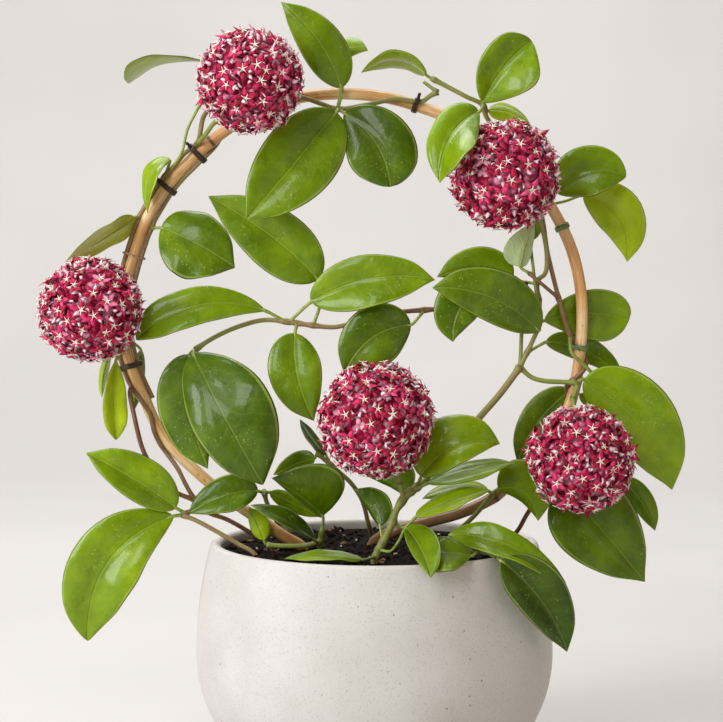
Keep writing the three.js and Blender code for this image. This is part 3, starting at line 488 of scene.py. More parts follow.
hoop_points = [
    *rooted(303, 549), *[seen((across, down, 0)) for across, down in HOOP_SEEN],
    *reversed(rooted(372, 546)),
]
cane_line = smooth_line(hoop_points, CANE_STEP)
joint_places = [min(cane_line, key=lambda p: (p - seen((*joint, 0))).length) for joint in CANE_JOINTS]
cane_radii = []
cane_looks = []
for index, point in enumerate(cane_line):
    ridge = JOINT_RISE * nearness(point, joint_places, JOINT_RIDGE)
    cane_radii.append(CANE_RADIUS * (1 + ridge + CANE_UNEVEN * noise.noise(point * 40)))
    joint_line, joint_glow = (nearness(point, joint_places, reach) for reach in (JOINT_LINE, JOINT_GLOW))
    # The cane darkens towards its right end: partly a damp stain near the soil, partly painted shade.
    stain_and_shade = min(max((index / (len(cane_line) - 1) - STAIN_AND_SHADE_FROM) / STAIN_AND_SHADE_OVER, 0), 1)
    cane_looks.append((joint_line, joint_glow, stain_and_shade))
bm = new_growth()
add_tube(bm, cane_line, cane_radii, CANE_SIDES, looks=cane_looks)


def stretched(tree, where, *scale):
    """Coordinates squeezed so that a pattern runs long in one direction."""
    return node(tree, "Mapping", {"Vector": where, "Scale": scale}).outputs[0]


def growth_material(name, **sockets):
    """A material for something grown, with its skin and look attributes read."""
    material, tree = new_material(name, **sockets)
    skin, look = (node(tree, "Attribute", attribute_name=layer).outputs["Vector"]
                  for layer in ("skin", "look"))
    return material, tree, skin, node(tree, "SeparateXYZ", {"Vector": look}).outputs


peeled_cane, tree, skin, (joint_line, joint_glow, stain_and_shade) = growth_material(
    "peeled_cane", Roughness=0.4, Coat_Weight=0.25, Coat_Roughness=0.2)
fibres = grain(tree, stretched(tree, skin, 1, 1, 0.04), 1500, 4.0, 0.6)
patches = grain(tree, stretched(tree, skin, 1, 1, 0.5), 60, 3.0)
colour = ramp(tree, patches, (0.3, 204, 142, 80), (0.52, 236, 190, 128), (0.72, 252, 228, 182))
colour = tinted(
    tree, colour,
    (fade(tree, fibres, 0.42, 0.7), 0.62, 166, 100, 46),
    (joint_glow, 0.4, 178, 106, 48),
    # the dark right end: partly stain, partly painted shade
    (stain_and_shade, 0.85, 96, 50, 20),
    (fade(tree, joint_line, 0.45, 0.95), 1.0, 84, 50, 24),
    (specks(tree, stretched(tree, skin, 1, 1, 0.4), 520, 0.34, 0.16), 0.5, 104, 66, 36),
)
surface(tree, colour, (fibres, 0.12 * MM), (patches, 0.4 * MM),
        roughness=fade(tree, fibres, 0.2, 0.8, 0.34, 0.55))
add_piece("bent_cane_hoop", bm, [peeled_cane], "cane", "cane_hoop")


# Stems and leaves: the hoya's smooth round stems, green when young and brown
# with age, swell at each joint, where leaves stand on short fleshy stalks. The
# leaves are thick, waxy and flecked with silver, paler underneath.
STEM_RADIUS = 1.3 * MM
HUG = CANE_RADIUS + STEM_RADIUS - 0.15 * MM
STEM_SIDES = 10
STEM_STEP = 2.2 * MM
STEM_SWELL, STEM_SWELL_REACH = 0.42, 2.4 * MM
STEM_UNEVEN = 0.05
JOINT_SCAR = 1.5 * MM
STALK_STEP = 1.6 * MM
STALK_RADIUS = 0.9 * MM
STALK_LEAST, STALK_GAIN = 0.6, 150 * MM
STALK_SIDES = 8
STALK_SWELL, STALK_SWELL_REACH = 0.35, 2.5 * MM
NECK_SWELL, NECK_SWELL_REACH = 0.12, 3 * MM
RIB_TAPER, RIB_TAPER_CURVE = 0.78, 0.7
RIB_DEPTHS = ((0.05, 0.3), (0.2, 0.55), (0.42, 0.5), (0.65, 0.35), (0.82, 0.1))
BLADE_FULLNESS = 1.35
BLADE_THICKNESS = 1.0 * MM
BLADE_ROWS = 28
BLADE_COLUMNS = 14
ROW_BUNCHING = 0.11
MARGIN_DROP = 0.6
RIPPLE = 0.014
RIPPLE_RATE = 8.5
RIPPLE_SHIFT = 1.7
RIB_END = 1e-5
RIB_STEP = 0.02
RIB_REACH = (0.05, 0.95)
BLADE_START = 0.03
TIP_TAPER = 0.5
TIP_TAPER_FROM = 0.8
BLUNT_EASE = 0.45
PIXEL = 0.55
STEM, STALK, UPPER, UNDER = range(4)
hoop_middle = seen((352, 322, 0))
cane_fine_line = smooth_line(hoop_points, 1 * MM)
draw = random.Random(20)

# A leaf's stalk starts on a stem; base, bend and tip are places on its rib. left
# and right are how far out each edge is seen, in pixels, and how much farther
# back it lies; fold brings both edges forward, by a share of their width. tone
# goes from 0, dark, to 1.3, bright: partly the leaf's own green, darker when old
# and brighter when young, and partly painted light and shade, set leaf by leaf
# to how brightly each one is lit.
Leaf = namedtuple("Leaf", "stalk base bend tip left right tone widest under arch wave blunt fold",
                  defaults=(0.42, False, 0.07, 1.0, 0.0, 0.3))


def hoop_frame(across, down):
    """The cane's axis where it is seen, and the ways out of the ring and nearer."""
    target = seen((across, down, 0))
    best = min(range(1, len(cane_fine_line) - 1), key=lambda i: (cane_fine_line[i] - target).length)
    centre = cane_fine_line[best]
    along = (cane_fine_line[best + 1] - cane_fine_line[best - 1]).normalized()
    outward = centre - hoop_middle
    nearer = Vector((0, -1, 0))
    return centre, *((way - along * way.dot(along)).normalized() for way in (outward, nearer))


def hug(across, down, angle):
    """A stem's place at the cane: 0 degrees outside the ring, 90 in front of it."""
    centre, outward, nearer = hoop_frame(across, down)
    turn = math.radians(angle)
    return centre + (outward * math.cos(turn) + nearer * math.sin(turn)) * HUG


def wound(*places):
    """The places of a stem that winds round the cane."""
    return [hug(*place) for place in places]


def blade_share(u, widest, blunt):
    """A blade's half width at a share of its length, 1 at its widest."""
    rise = (u / widest) ** (BLADE_FULLNESS * widest)
    fall = ((1 - u) / (1 - widest)) ** (BLADE_FULLNESS * (1 - widest) * (1 - BLUNT_EASE * blunt))
    past = max(0, (u - TIP_TAPER_FROM) / (1 - TIP_TAPER_FROM))
    return rise * fall * (1 - TIP_TAPER * (1 - blunt) * past ** 2)


def add_lens(bm, rows, columns, kinds, place):
    """A thin closed blade: an upper and an under grid, welded along the outline."""
    skin, look = growth_layers(bm)
    both = []
    for side, kind in zip((1, -1), kinds):
        verts = bmesh.ops.create_grid(bm, x_segments=rows, y_segments=columns, size=1)["verts"]
        for vert in verts:
            vert.co, vert[skin], vert[look] = place((vert.co.x + 1) / 2, vert.co.y, side)
        faces = give_finish(verts, kind)
        if side < 0:
            bmesh.ops.reverse_faces(bm, faces=faces)
        both += verts
    bmesh.ops.remove_doubles(bm, verts=both, dist=WELD)


def nearest_on(lines, place):
    """The point of some lines that is nearest to a place."""
    target = seen(place)
    return min((point for line in lines for point in line), key=lambda p: (p - target).length)


def add_leaf(bm, lines, stalk, base, bend, tip, left, right, tone, widest, under, arch, wave, blunt, fold):
    """One leaf: its stalk, the rib under it, and the blade folded along the rib."""
    base, bend, tip = Vector(base), Vector(bend), Vector(tip)
    control = bend * 2 - (base + tip) / 2
    seed = draw.uniform(0, 40)
    facing = -1 if under else 1

    def picture(u):
        return base * (1 - u) ** 2 + control * (2 * u * (1 - u)) + tip * u ** 2

    def rib(u):
        return seen(tuple(picture(u)))

    def edge(u, side):
        ahead = (control - base) * (1 - u) + (tip - control) * u
        out = Vector((ahead.y, -ahead.x, 0)).normalized()
        width, back = left if side > 0 else right
        share = blade_share(u, widest, blunt)
        point = picture(u) + out * (side * width * share)
        return seen((point.x, point.y, point.z + (back - fold * width * PIXEL) * share))

    def upright(u):
        ahead = rib(min(1, u + RIB_STEP)) - rib(max(0, u - RIB_STEP))
        middle = min(max(u, RIB_REACH[0]), RIB_REACH[1])
        return ahead.cross(edge(middle, 1) - edge(middle, -1)).normalized()

    length = (rib(0.5) - rib(0)).length + (rib(1) - rib(0.5)).length
    half = (edge(widest, 1) - edge(widest, -1)).length / 2

    def place(x, y, side):
        u = x - ROW_BUNCHING * math.sin(math.tau * x)
        v = math.sin(math.pi / 2 * y)
        middle = rib(u)
        if u < RIB_END or u > 1 - RIB_END:
            return middle, (u * length, 0, seed), (u, 0, tone)
        outer = edge(u, 1 if v >= 0 else -1)
        out = abs(v)
        share = blade_share(u, widest, blunt)
        hump = half * arch * share * (4 * out * (1 - out) - MARGIN_DROP * out ** 4)
        shift = seed + (RIPPLE_SHIFT if v > 0 else 0)
        waves = math.sin(RIPPLE_RATE * u + shift) + 0.5 * math.sin(2 * RIPPLE_RATE * u + seed * 3)
        ripple = wave * RIPPLE * length * out ** 2 * share * waves
        thick = BLADE_THICKNESS / 2 * math.sqrt(1 - out ** 6) * min(1, 4 * share)
        co = middle.lerp(outer, out) + upright(u) * (facing * hump + ripple + side * thick)
        return co, (u * length, (outer - middle).length * v, seed), (u, v, tone)

    kinds = (UNDER, UPPER) if under else (UPPER, UNDER)
    add_lens(bm, BLADE_ROWS, BLADE_COLUMNS, kinds, place)
    start = nearest_on(lines, stalk[0])
    sunk = [rib(u) - upright(u) * (facing * depth * MM) for u, depth in RIB_DEPTHS]
    line = smooth_line([start, *stalk[1:], tuple(base), *sunk], STALK_STEP)
    blade_from = min(range(len(line)), key=lambda i: (line[i] - rib(BLADE_START)).length)
    stoutness = STALK_RADIUS * min(1, STALK_LEAST + length / STALK_GAIN)
    radii = []
    for index, point in enumerate(line):
        past = max(0, (index - blade_from) / max(1, len(line) - 1 - blade_from))
        swell = STALK_SWELL * nearness(point, [start], STALK_SWELL_REACH)
        swell += NECK_SWELL * nearness(point, [rib(0)], NECK_SWELL_REACH)
        radii.append(stoutness * (1 + swell) * (1 - RIB_TAPER * past ** RIB_TAPER_CURVE))
    add_tube(bm, line, radii, STALK_SIDES, STALK, (tone, 0, seed))


def grow(name, stems, leaves):
    """One leafy stem: (route, radius in mm, age at its foot, age at its end) stems, and leaves."""
    bm = new_growth()
    lines = []
    joints = []
    for route, *_ in stems:
        points = [seen(point) for point in route]
        if lines and points[0].z > SOIL_HEIGHT:
            points[0] = nearest_on(lines, points[0])
            joints.append(points[0])
        lines.append(smooth_line(points, STEM_STEP))
    joints += [nearest_on(lines, leaf.stalk[0]) for leaf in leaves]
    for (_, radius, foot_age, end_age), line in zip(stems, lines):
        radii = []
        looks = []
        for index, point in enumerate(line):
            swell = STEM_SWELL * nearness(point, joints, STEM_SWELL_REACH)
            swell += STEM_UNEVEN * noise.noise(point * 90)
            radii.append(radius * MM * (1 + swell))
            age = foot_age + (end_age - foot_age) * index / (len(line) - 1)
            looks.append((age, nearness(point, joints, JOINT_SCAR), index))
        add_tube(bm, line, radii, STEM_SIDES, STEM, looks)
    for leaf in leaves:
        add_leaf(bm, lines, *leaf)
    add_piece("hoya_" + name, bm, plant_finishes, "leaf", name)


stem_bark, tree, skin, (age, scar, _) = growth_material("hoya_stem", Roughness=0.5)
streaks = grain(tree, stretched(tree, skin, 1, 1, 0.08), 1400, 4.0, 0.6)
patches = grain(tree, object_place(tree), 120, 3.0)
age = calc(tree, "ADD", age, calc(tree, "MULTIPLY", calc(tree, "SUBTRACT", patches, 0.5), 0.5))
colour = ramp(tree, age, (0.0, 126, 150, 48), (0.3, 132, 136, 66), (0.55, 142, 112, 74),
              (0.8, 112, 66, 48), (1.0, 84, 40, 36))
colour = tinted(
    tree, colour,
    (fade(tree, streaks, 0.45, 0.8), 0.4, 176, 160, 116),
    (fade(tree, scar, 0.3, 0.95), 0.4, 92, 74, 40),
    (specks(tree, skin, 900, 0.35, 0.2), 0.5, 196, 184, 150),
)
surface(tree, colour, (streaks, 0.18 * MM), (patches, 0.3 * MM))

stalk_skin, tree, skin, _ = growth_material("leaf_stalk", Roughness=0.42)
mottle = grain(tree, skin, 420, 3.0)
surface(tree, ramp(tree, mottle, (0.3, 118, 142, 52), (0.7, 166, 178, 88)), (mottle, 0.1 * MM))


def leaf_pattern(tree, skin, tone):
    """The rib and the side veins of a blade, and its tone with the mottling in it; the tone is partly painted
    light and shade.
    """
    along, across, _ = node(tree, "SeparateXYZ", {"Vector": skin}).outputs
    out = calc(tree, "ABSOLUTE", across)
    rib_line = fade(tree, out, 0.2 * MM, 0.8 * MM, 1.0, 0.0)
    slant = calc(tree, "SUBTRACT", along, calc(tree, "MULTIPLY", out, 0.75))
    bend = calc(tree, "MULTIPLY", grain(tree, skin, 70, 3.0), 11 * MM)
    waves = calc(tree, "SINE", calc(tree, "MULTIPLY", calc(tree, "ADD", slant, bend), 760))
    mottle = grain(tree, skin, 48, 5.0, 0.62)
    spread = calc(tree, "MULTIPLY", calc(tree, "SUBTRACT", mottle, 0.5), 0.8)
    return rib_line, fade(tree, waves, 0.8, 1.0), mottle, calc(tree, "ADD", tone, spread)


leaf_face, tree, skin, (_, across, tone) = growth_material(
    "leaf_upper", Roughness=0.36, Specular_IOR_Level=0.22, Coat_Weight=0.24, Coat_Roughness=0.08)
rib_line, veins, mottle, tone = leaf_pattern(tree, skin, tone)
patchy = fade(tree, grain(tree, skin, 60, 2.0), 0.48, 0.64)
fine_flecks = calc(tree, "MULTIPLY", specks(tree, skin, 900, 0.46, 0.34), patchy)
flecks = calc(tree, "MAXIMUM", fine_flecks, specks(tree, skin, 380, 0.2, 0.1))
brink = calc(tree, "ABSOLUTE", across)
# A pale line just inside the rim is a painted highlight: light caught by the thin rounded edge and shining
# through it.
painted_rim_highlight = calc(tree, "MULTIPLY", fade(tree, brink, 0.9, 0.955), fade(tree, brink, 0.955, 0.985, 1.0, 0.0))
# The upper side's green follows the tone: partly the leaf's own colour, partly painted light and shade.
colour = ramp(tree, calc(tree, "DIVIDE", tone, 1.3), (0.0, 38, 62, 0), (0.27, 78, 106, 0),
              (0.5, 118, 148, 0), (0.77, 162, 186, 8), (1.0, 200, 222, 20))
colour = tinted(
    tree, colour,
    (veins, 0.05, 150, 170, 70),
    (rib_line, 0.16, 176, 196, 84),
    (flecks, 0.34, 190, 206, 120),
    (painted_rim_highlight, 0.5, 176, 192, 96),
    (fade(tree, brink, 0.96, 0.99), 0.6, 34, 52, 8),
)
surface(
    tree, colour,
    (calc(tree, "MULTIPLY", veins, -1.0), 0.03 * MM),
    (calc(tree, "MULTIPLY", rib_line, -1.0), 0.3 * MM),
    (grain(tree, skin, 130, 3.0), 0.9 * MM),
    roughness=fade(tree, mottle, 0.25, 0.75, 0.26, 0.42),
)

leaf_back, tree, skin, (_, across, tone) = growth_material(
    "leaf_under", Roughness=0.42, Coat_Weight=0.2, Coat_Roughness=0.15)
rib_line, veins, mottle, tone = leaf_pattern(tree, skin, tone)
# The undersides follow the same tone; the bright yellow-green end of this ramp is painted light shining
# through the blade.
colour = ramp(tree, tone, (0.0, 176, 194, 142), (0.5, 138, 158, 56), (0.68, 150, 164, 52),
              (0.84, 190, 206, 56))
colour = tinted(
    tree, colour,
    (veins, 0.25, 182, 194, 112),
    (rib_line, 0.5, 186, 198, 110),
    (fade(tree, calc(tree, "ABSOLUTE", across), 0.96, 0.99), 0.4, 90, 112, 30),
)
surface(tree, colour, (veins, 0.12 * MM), (grain(tree, skin, 200, 3.0), 0.3 * MM))

plant_finishes = [stem_bark, stalk_skin, leaf_face, leaf_back]


# The flower heads' places: each ball's centre and width as they are seen, where
# its stalk comes from, and the share of pale flowers. The stalks belong to the
# stems that bear them.
Ball = namedtuple("Ball", "centre across stalk pale")
BALLS = {
    "bloom_top_left": Ball((250, 81, -37), 108, (220, 119, -16), 0.3),
    "bloom_left": Ball((90.5, 310, -32), 107, (119, 338, -10), 0.34),
    "bloom_top_right": Ball((504.5, 175, -36), 113, (539, 218, -14), 0.16),
    "bloom_middle": Ball((376.5, 420, -48), 119, (400, 483, -38), 0.14),
    "bloom_right": Ball((581, 459, -36), 110, (573, 398, -16), 0.2),
}
STALK_SHARE = 0.5


def ball_radius(ball):
    across, down, depth = ball.centre
    return (seen((across + ball.across / 2, down, depth)) - seen(ball.centre)).length


def ball_stalk(name):
    """The straight end of a flower head's stalk, into the middle of the head."""
    ball = BALLS[name]
    centre, start = seen(ball.centre), seen(ball.stalk)
    return [start, centre + (start - centre).normalized() * (STALK_SHARE * ball_radius(ball))]


# Left vine: comes out of the soil, winds on to the cane and follows it up and
# over the top. It bears eleven leaves and the two flower heads on the left.
left_vine_route = [
    *rooted(272, 549), (249, 532, -2), (226, 519, -6), (207, 512, -8), (196, 501, -8),
    (186, 485, -8), (178, 469, -6),
    *wound((172, 447, 5), (166, 440, 30), (158, 427, 60), (152, 415, 90), (147, 403, 75), (141, 391, 45),
           (136, 379, 20), (131, 366, 0), (124, 340, 0), (122, 315, 0), (125, 290, 0), (130, 270, 0),
           (138, 243, 0), (147, 219, 0), (155, 205, 0), (166, 187, 0)),
    (175, 165, -3), (185, 153, -3.5), hug(202, 149, 30), (200, 134, -5), (205, 114, -4), (224, 99, -3),
    (250, 94, -4), (280, 95, -5), (304, 98, -6), (322, 104, -6), (338, 109, -6), (365, 105, -7),
    *wound((397, 100, 90), (410, 104, 72), (420, 107, 58)), (430, 96, -5), (438, 92, -6),
]
inside_the_ring = [
    (190, 161), (178, 173), (166, 187), (155, 205), (147, 219), (138, 243), (130, 270), (125, 290),
    (122, 315), (124, 340), (131, 366), (137, 382), (146, 400),
]
inner_shoot_route = [
    (224, 99, -3), (225, 118, 3), *wound((218, 136, 250), (210, 143, 215), (200, 151, 185)),
    *[hug(across, down, 180) for across, down in inside_the_ring],
]
brown_shoot_route = [
    (196, 502, -8), (172, 490, -11), (153, 468, -11), (143, 450, -11), (134, 415, -11),
    (130, 394, -9), hug(137, 384, 20),
]
grow("vine_left", [
    (left_vine_route, 1.3, 0.75, 0.3),
    (inner_shoot_route, 1.1, 0.4, 0.6),
    (brown_shoot_route, 1.3, 0.7, 0.9),
    ([hug(127, 352, 0), (120, 346, -8), BALLS["bloom_left"].stalk], 1.3, 0.3, 0.2),
    (ball_stalk("bloom_left"), 1.3, 0.2, 0.2),
    ([hug(202, 149, 30), (206, 134, -12), (213, 124, -15), BALLS["bloom_top_left"].stalk],
     1.3, 0.3, 0.2),
    (ball_stalk("bloom_top_left"), 1.3, 0.2, 0.2),
    ([(438, 92, -6), (432, 88, -5), (424, 82, -3)], 1.0, 0.3, 0.1),
], [
    # small, bright, hanging under the left flower head
    Leaf([hug(127, 352, 0)], (116, 360, -11), (114, 400, -13), (116, 440, -12), (14, 3), (11, -4), 0.98,
         widest=0.6),
    # pale sliver behind it
    Leaf([hug(125, 345, 0)], (111, 351, -3), (103, 375, 3), (102, 398, 4), (5, 8), (4, 6), 0.9, fold=0),
    # hangs behind the cane
    Leaf([hug(125, 343, 180)], (141, 350, 6), (137, 382, 10), (133, 413, 8), (7, 5), (7, 5), 0.5, fold=0),
    # points out to the left, seen from below
    Leaf([hug(147, 219, 0)], (135, 217, -3), (107, 236, -8), (65, 262, -14), (12, 12), (11, -14), 0.85,
         under=True),
    # small and curled
    Leaf([hug(170, 183, 0)], (170, 160, -2), (150, 174, -8), (148, 214, -9), (8, -8), (7, 8), 0.75),
    # broad and very glossy, inside the ring
    Leaf([hug(145, 225, 180)], (161, 228, -8), (198, 245, -16), (235, 268, -16), (33, 12), (36, -3), 0.4,
         wave=2.6),
    # level, seen from its edge at the top left
    Leaf([hug(174, 178, 20), (181, 154, -7), (188, 128, -8), (198, 108, -9), (207, 84, -10)],
         (207, 62, -12), (160, 63, -16), (127, 83, -20), (3, 20), (12, -20), 0.85, widest=0.84, arch=0.02),
    # upright at the top
    Leaf([(338, 107, -5)], (341, 88, -9), (320, 43, -16), (281, 2, -14), (22, 6), (23, 6), 0.5),
    # olive, behind it
    Leaf([(338, 107, -5), (342, 95, -8), (342, 80, -3)], (336, 65, 12), (350, 50, 13), (368, 51, 10),
         (13, 5), (7, 3), 0.7, fold=0),
    # the largest at the top, hanging down to the left
    Leaf([(338, 107, -5)], (337, 112, -10), (292, 166, -22), (246, 220, -30), (40, 2), (38, 4), 0.5),
    # round and dark, hanging down to the right
    Leaf([(338, 107, -5)], (344, 113, -10), (376, 144, -16), (390, 187, -18), (37, 5), (33, 4), 0.3,
         widest=0.5, blunt=0.6),
])


# Middle shoot: crosses the middle of the ring from the right, and bears seven
# leaves, the largest of them low at its left end.
grow("shoot_middle", [
    ([(527, 283, -9), (517, 287, -11), (495, 297, -16), (470, 303, -17), (436, 309, -16),
      (410, 311, -15), (383, 314, -14), (360, 321, -14), (335, 327, -14), (310, 325, -14),
      (289, 322, -14), (264, 320, -13), (243, 325, -13), (225, 332, -13), (208, 341, -14),
      (195, 350, -15)], 1.3, 0.95, 0.24),
], [
    # behind the tip of the big top leaf
    Leaf([(314, 326, -14), (320, 304, -12)], (318, 280, -10), (272, 237, -12), (208, 196, -12), (31, 3),
         (31, 3), 0.5),
    # level, to the right
    Leaf([(289, 322, -14)], (311, 302, -18), (372, 279, -26), (435, 280, -28), (26, 4), (28, -4), 0.56),
    # long, to the left across the cane
    Leaf([(286, 322, -14)], (266, 311, -17), (196, 306, -24), (136, 340, -24), (19, -4), (21, 6), 0.6,
         widest=0.6),
    # hangs below the stem
    Leaf([(298, 323, -14)], (295, 333, -18), (297, 376, -26), (314, 421, -26), (26, 4), (28, 4), 0.5),
    # round, hangs to the right of it
    Leaf([(425, 311, -15)], (411, 325, -20), (371, 338, -26), (344, 373, -24), (31, 3), (30, 5), 0.35),
    # the largest of all, low at the left
    Leaf([(195, 350, -15)], (193, 353, -18), (224, 416, -38), (263, 485, -36), (51, 8), (35, 8), 0.25,
         widest=0.5),
    # behind it
    Leaf([(197, 349, -15)], (190, 354, -15), (190, 411, -14), (208, 469, -14), (20, 3), (32, 3), 0.4,
         fold=0),
])


# Right vine: the thickest stem, from the front of the soil up the right of the
# ring. It bears fourteen leaves and the stalks of three flower heads.
grow("vine_right", [
    ([*rooted(374, 563), (384, 540, -44), (391, 526, -41), (396, 511, -38), (406, 496, -34),
      (417, 487, -30), (432, 475, -24), (455, 447, -18), (479, 418, -15), (500, 394, -13),
      (520, 367, -12)], 1.9, 0.2, 0.4),
    ([(520, 367, -12), (533, 340, -11), (539, 325, -10), (539, 301, -9), (537, 281, -9),
      (545, 274, -9), (547, 260, -9), (545, 240, -11), BALLS["bloom_top_right"].stalk], 1.3, 0.35, 0.4),
    ([(521, 368, -12), (531, 377, -12), (545, 381, -13), (562, 382, -13), (577, 384, -14),
      BALLS["bloom_right"].stalk], 1.3, 0.2, 0.1),
    ([(519, 368, -12), (521, 348, -10), (522, 330, -8), (528, 305, -7)], 1.1, 0.3, 0.2),
    ([(405, 499, -35), (402, 491, -36), BALLS["bloom_middle"].stalk], 1.3, 0.3, 0.2),
    (ball_stalk("bloom_middle"), 1.3, 0.2, 0.2),
    (ball_stalk("bloom_top_right"), 1.3, 0.4, 0.3),
    (ball_stalk("bloom_right"), 1.3, 0.1, 0.1),
    ([(539, 318, -10), (537, 300, -13), (533, 266, -12), (530, 243, -8)], 0.9, 0.25, 0.1),
], [
    # small, dark, near the soil
    Leaf([(383, 543, -44)], (380, 526, -40), (370, 507, -36), (355, 489, -34), (4, 10), (21, 4), 0.2),
    # under the middle flower head
    Leaf([(402, 502, -36)], (405, 494, -30), (390, 482, -18), (366, 476, -10), (5, 6), (26, 6), 0.4),
    # to the right of the middle flower head
    Leaf([(416, 488, -30)], (421, 477, -34), (457, 446, -38), (500, 444, -34), (34, 13), (18, -6), 0.75),
    # below it
    Leaf([(410, 492, -32)], (429, 483, -34), (471, 471, -30), (515, 463, -26), (11, 10), (9, -10), 0.6),
    # bright, over the low end of the cane
    Leaf([(393, 521, -40), (403, 528, -40)], (416, 517, -41), (453, 500, -42), (491, 490, -38), (11, 10),
         (8, -12), 0.75),
    # bends down over the rim
    Leaf([(378, 553, -46), (391, 551, -54), (399, 541, -60)], (406, 528, -66), (421, 550, -84),
         (431, 578, -105), (21, 2), (10, -3), 0.5),
    # lies over the soil behind the rim
    Leaf([(376, 557, -46)], (362, 560, -58), (324, 556, -60), (284, 559, -56), (4, -8), (6, 16), 0.6),
    # large, in front, pointing left
    Leaf([(539, 325, -10)], (539, 331, -14), (490, 297, -32), (432, 288, -36), (24, 4), (30, 6), 0.45),
    # hangs behind it
    Leaf([(537, 300, -9), (515, 290, -20)], (486, 285, -24), (459, 309, -26), (453, 342, -28), (20, 4),
         (26, 3), 0.4),
    # behind it, pointing left
    Leaf([(534, 283, -9)], (512, 279, -4), (478, 267, -4), (437, 277, -6), (16, 3), (21, 3), 0.5, fold=0),
    # small, at the end of the short side stem
    Leaf([(530, 243, -8)], (530, 240, -8), (535, 223, -7), (534, 205, -5), (9, 3), (8, 3), 0.7),
    # to the right, across the cane
    Leaf([(539, 318, -10)], (544, 321, -6), (588, 313, 7), (629, 321, 10), (24, 2), (27, 2), 0.6,
         widest=0.55, blunt=0.8),
    # below it
    Leaf([(532, 355, -11)], (546, 342, -5), (586, 351, 14), (624, 377, 14), (15, 2), (12, 3), 0.5),
    # large, to the right
    Leaf([(577, 384, -14)], (584, 379, -12), (640, 426, -8), (672, 490, -6), (41, 3), (31, 3), 0.68),
])


# Vine round the right of the hoop: behind the flower heads, it winds round the
# cane and over the top, and bears eleven leaves.
grow("vine_hoop_right", [
    ([*rooted(486, 547), (508, 540, 14), (518, 530, 12), (526, 516, 9), (537, 498, 6),
      (550, 472, 4),
      *wound((564, 418, 0), (571, 402, 285), (574, 392, 210), (576, 384, 150), (577, 376, 95),
             (578, 368, 40), (580, 360, 340), (580, 355, 285), (580, 350, 220), (580, 343, 190)),
      (568, 332, -3), (562, 312, -3), (557, 292, -4), (552, 272, -5), (547, 250, -6),
      (544, 228, -4), (541, 212, 4), (536, 196, 7), (524, 172, 8), (508, 148, 6), (494, 128, 2),
      (486, 116, -2), (483, 105, -5), (467, 97, -8), (450, 88, -8), (431, 78, -8)],
     1.3, 1.0, 0.25),
    ([(558, 297, -4), (543, 285, -15), (529, 273, -16)], 1.0, 0.75, 0.6),
    ([(567, 340, -4), (572, 353, -8), (583, 364, -8), (597, 378, -8)], 1.0, 0.2, 0.1),
], [
    # level, seen from its edge, at the vine's tip
    Leaf([(434, 79, -8)], (426, 75, -9), (395, 60, -11), (361, 73, -12), (9, 14), (9, -12), 0.85),
    # upright at the top right
    Leaf([(484, 106, -5)], (483, 103, -8), (504, 67, -14), (532, 41, -14), (26, -2), (35, -6), 0.6,
         widest=0.53, blunt=0.5),
    # hangs over the left of the flower head
    Leaf([(484, 106, -5), (483, 106, -22)], (479, 112, -36), (451, 137, -52), (440, 183, -60), (24, -16),
         (24, 8), 0.62),
    # behind the flower head
    Leaf([(485, 110, -4)], (488, 111, -3), (508, 113, 0), (530, 124, 0), (9, 8), (9, -3), 0.8, fold=0),
    # to the right of the flower head
    Leaf([hug(546, 200, 270)], (556, 193, 9), (589, 172, 4), (626, 177, 2), (27, 4), (24, -7), 0.6,
         blunt=0.5),
    # hangs below it
    Leaf([hug(549, 204, 270), (566, 201, 10)], (583, 195, 10), (619, 218, 10), (627, 262, 10), (27, 2),
         (21, 2), 0.9),
    # behind the right flower head, hanging left
    Leaf([hug(577, 378, 270)], (570, 390, 8), (538, 421, 8), (517, 462, 6), (24, 3), (19, 3), 0.4),
    # small, folded and glossy, at the end of a short brown stem
    Leaf([(529, 273, -16)], (520, 267, -14), (526, 245, -14), (536, 222, -10), (20, 5), (8, 3), 0.0,
         widest=0.3, under=True),
    # small and bright, behind it
    Leaf([hug(574, 388, 300)], (580, 394, 9), (590, 402, 11), (602, 411, 11), (6, 2), (6, 2), 0.8),
    # large, below the right flower head
    Leaf([(540, 482, 5)], (562, 484, -1), (602, 530, -6), (645, 582, -8), (42, 3), (43, 3), 0.4,
         widest=0.38),
    # behind it
    Leaf([(536, 488, 6), (570, 478, 12)], (620, 478, 14), (642, 502, 14), (655, 531, 12), (13, 3), (11, 3),
         0.5, fold=0),
])


# Low shoots: six short stems that rise from the soil round the big vines and
# carry the leaves that lie over the rim.
grow("shoot_low_left", [
    ([*rooted(256, 556), (238, 544, -16), (214, 530, -15), (195, 520, -15), (182, 515, -14)], 1.3, 0.45, 0.5),
    ([(183, 515, -14), (192, 511, -13), (202, 510, -12.5)], 1.2, 0.75, 0.8),
], [
    # points up and out
    Leaf([(184, 514, -14)], (176, 508, -17), (133, 479, -24), (86, 453, -26), (19, -3), (27, 5), 0.62),
    # hangs down beside the pot
    Leaf([(182, 515, -14)], (174, 516, -17), (108, 562, -26), (88, 641, -18), (35, -3), (37, 5), 0.64,
         widest=0.55),
])
grow("shoot_left_back", [
    ([*rooted(290, 541), (277, 522, 12), (267, 503, 0), (264, 491, -8)], 1.3, 0.4, 0.2),
], [
    # to the left across the cane
    Leaf([(265, 492, -7)], (258, 491, -10), (224, 496, -15), (188, 514, -14), (17, -4), (20, 6), 0.3),
    # olive, to the right
    Leaf([(265, 492, -7)], (270, 492, -6), (294, 504, -2), (320, 517, 1), (9, 5), (9, 3), 0.6),
])
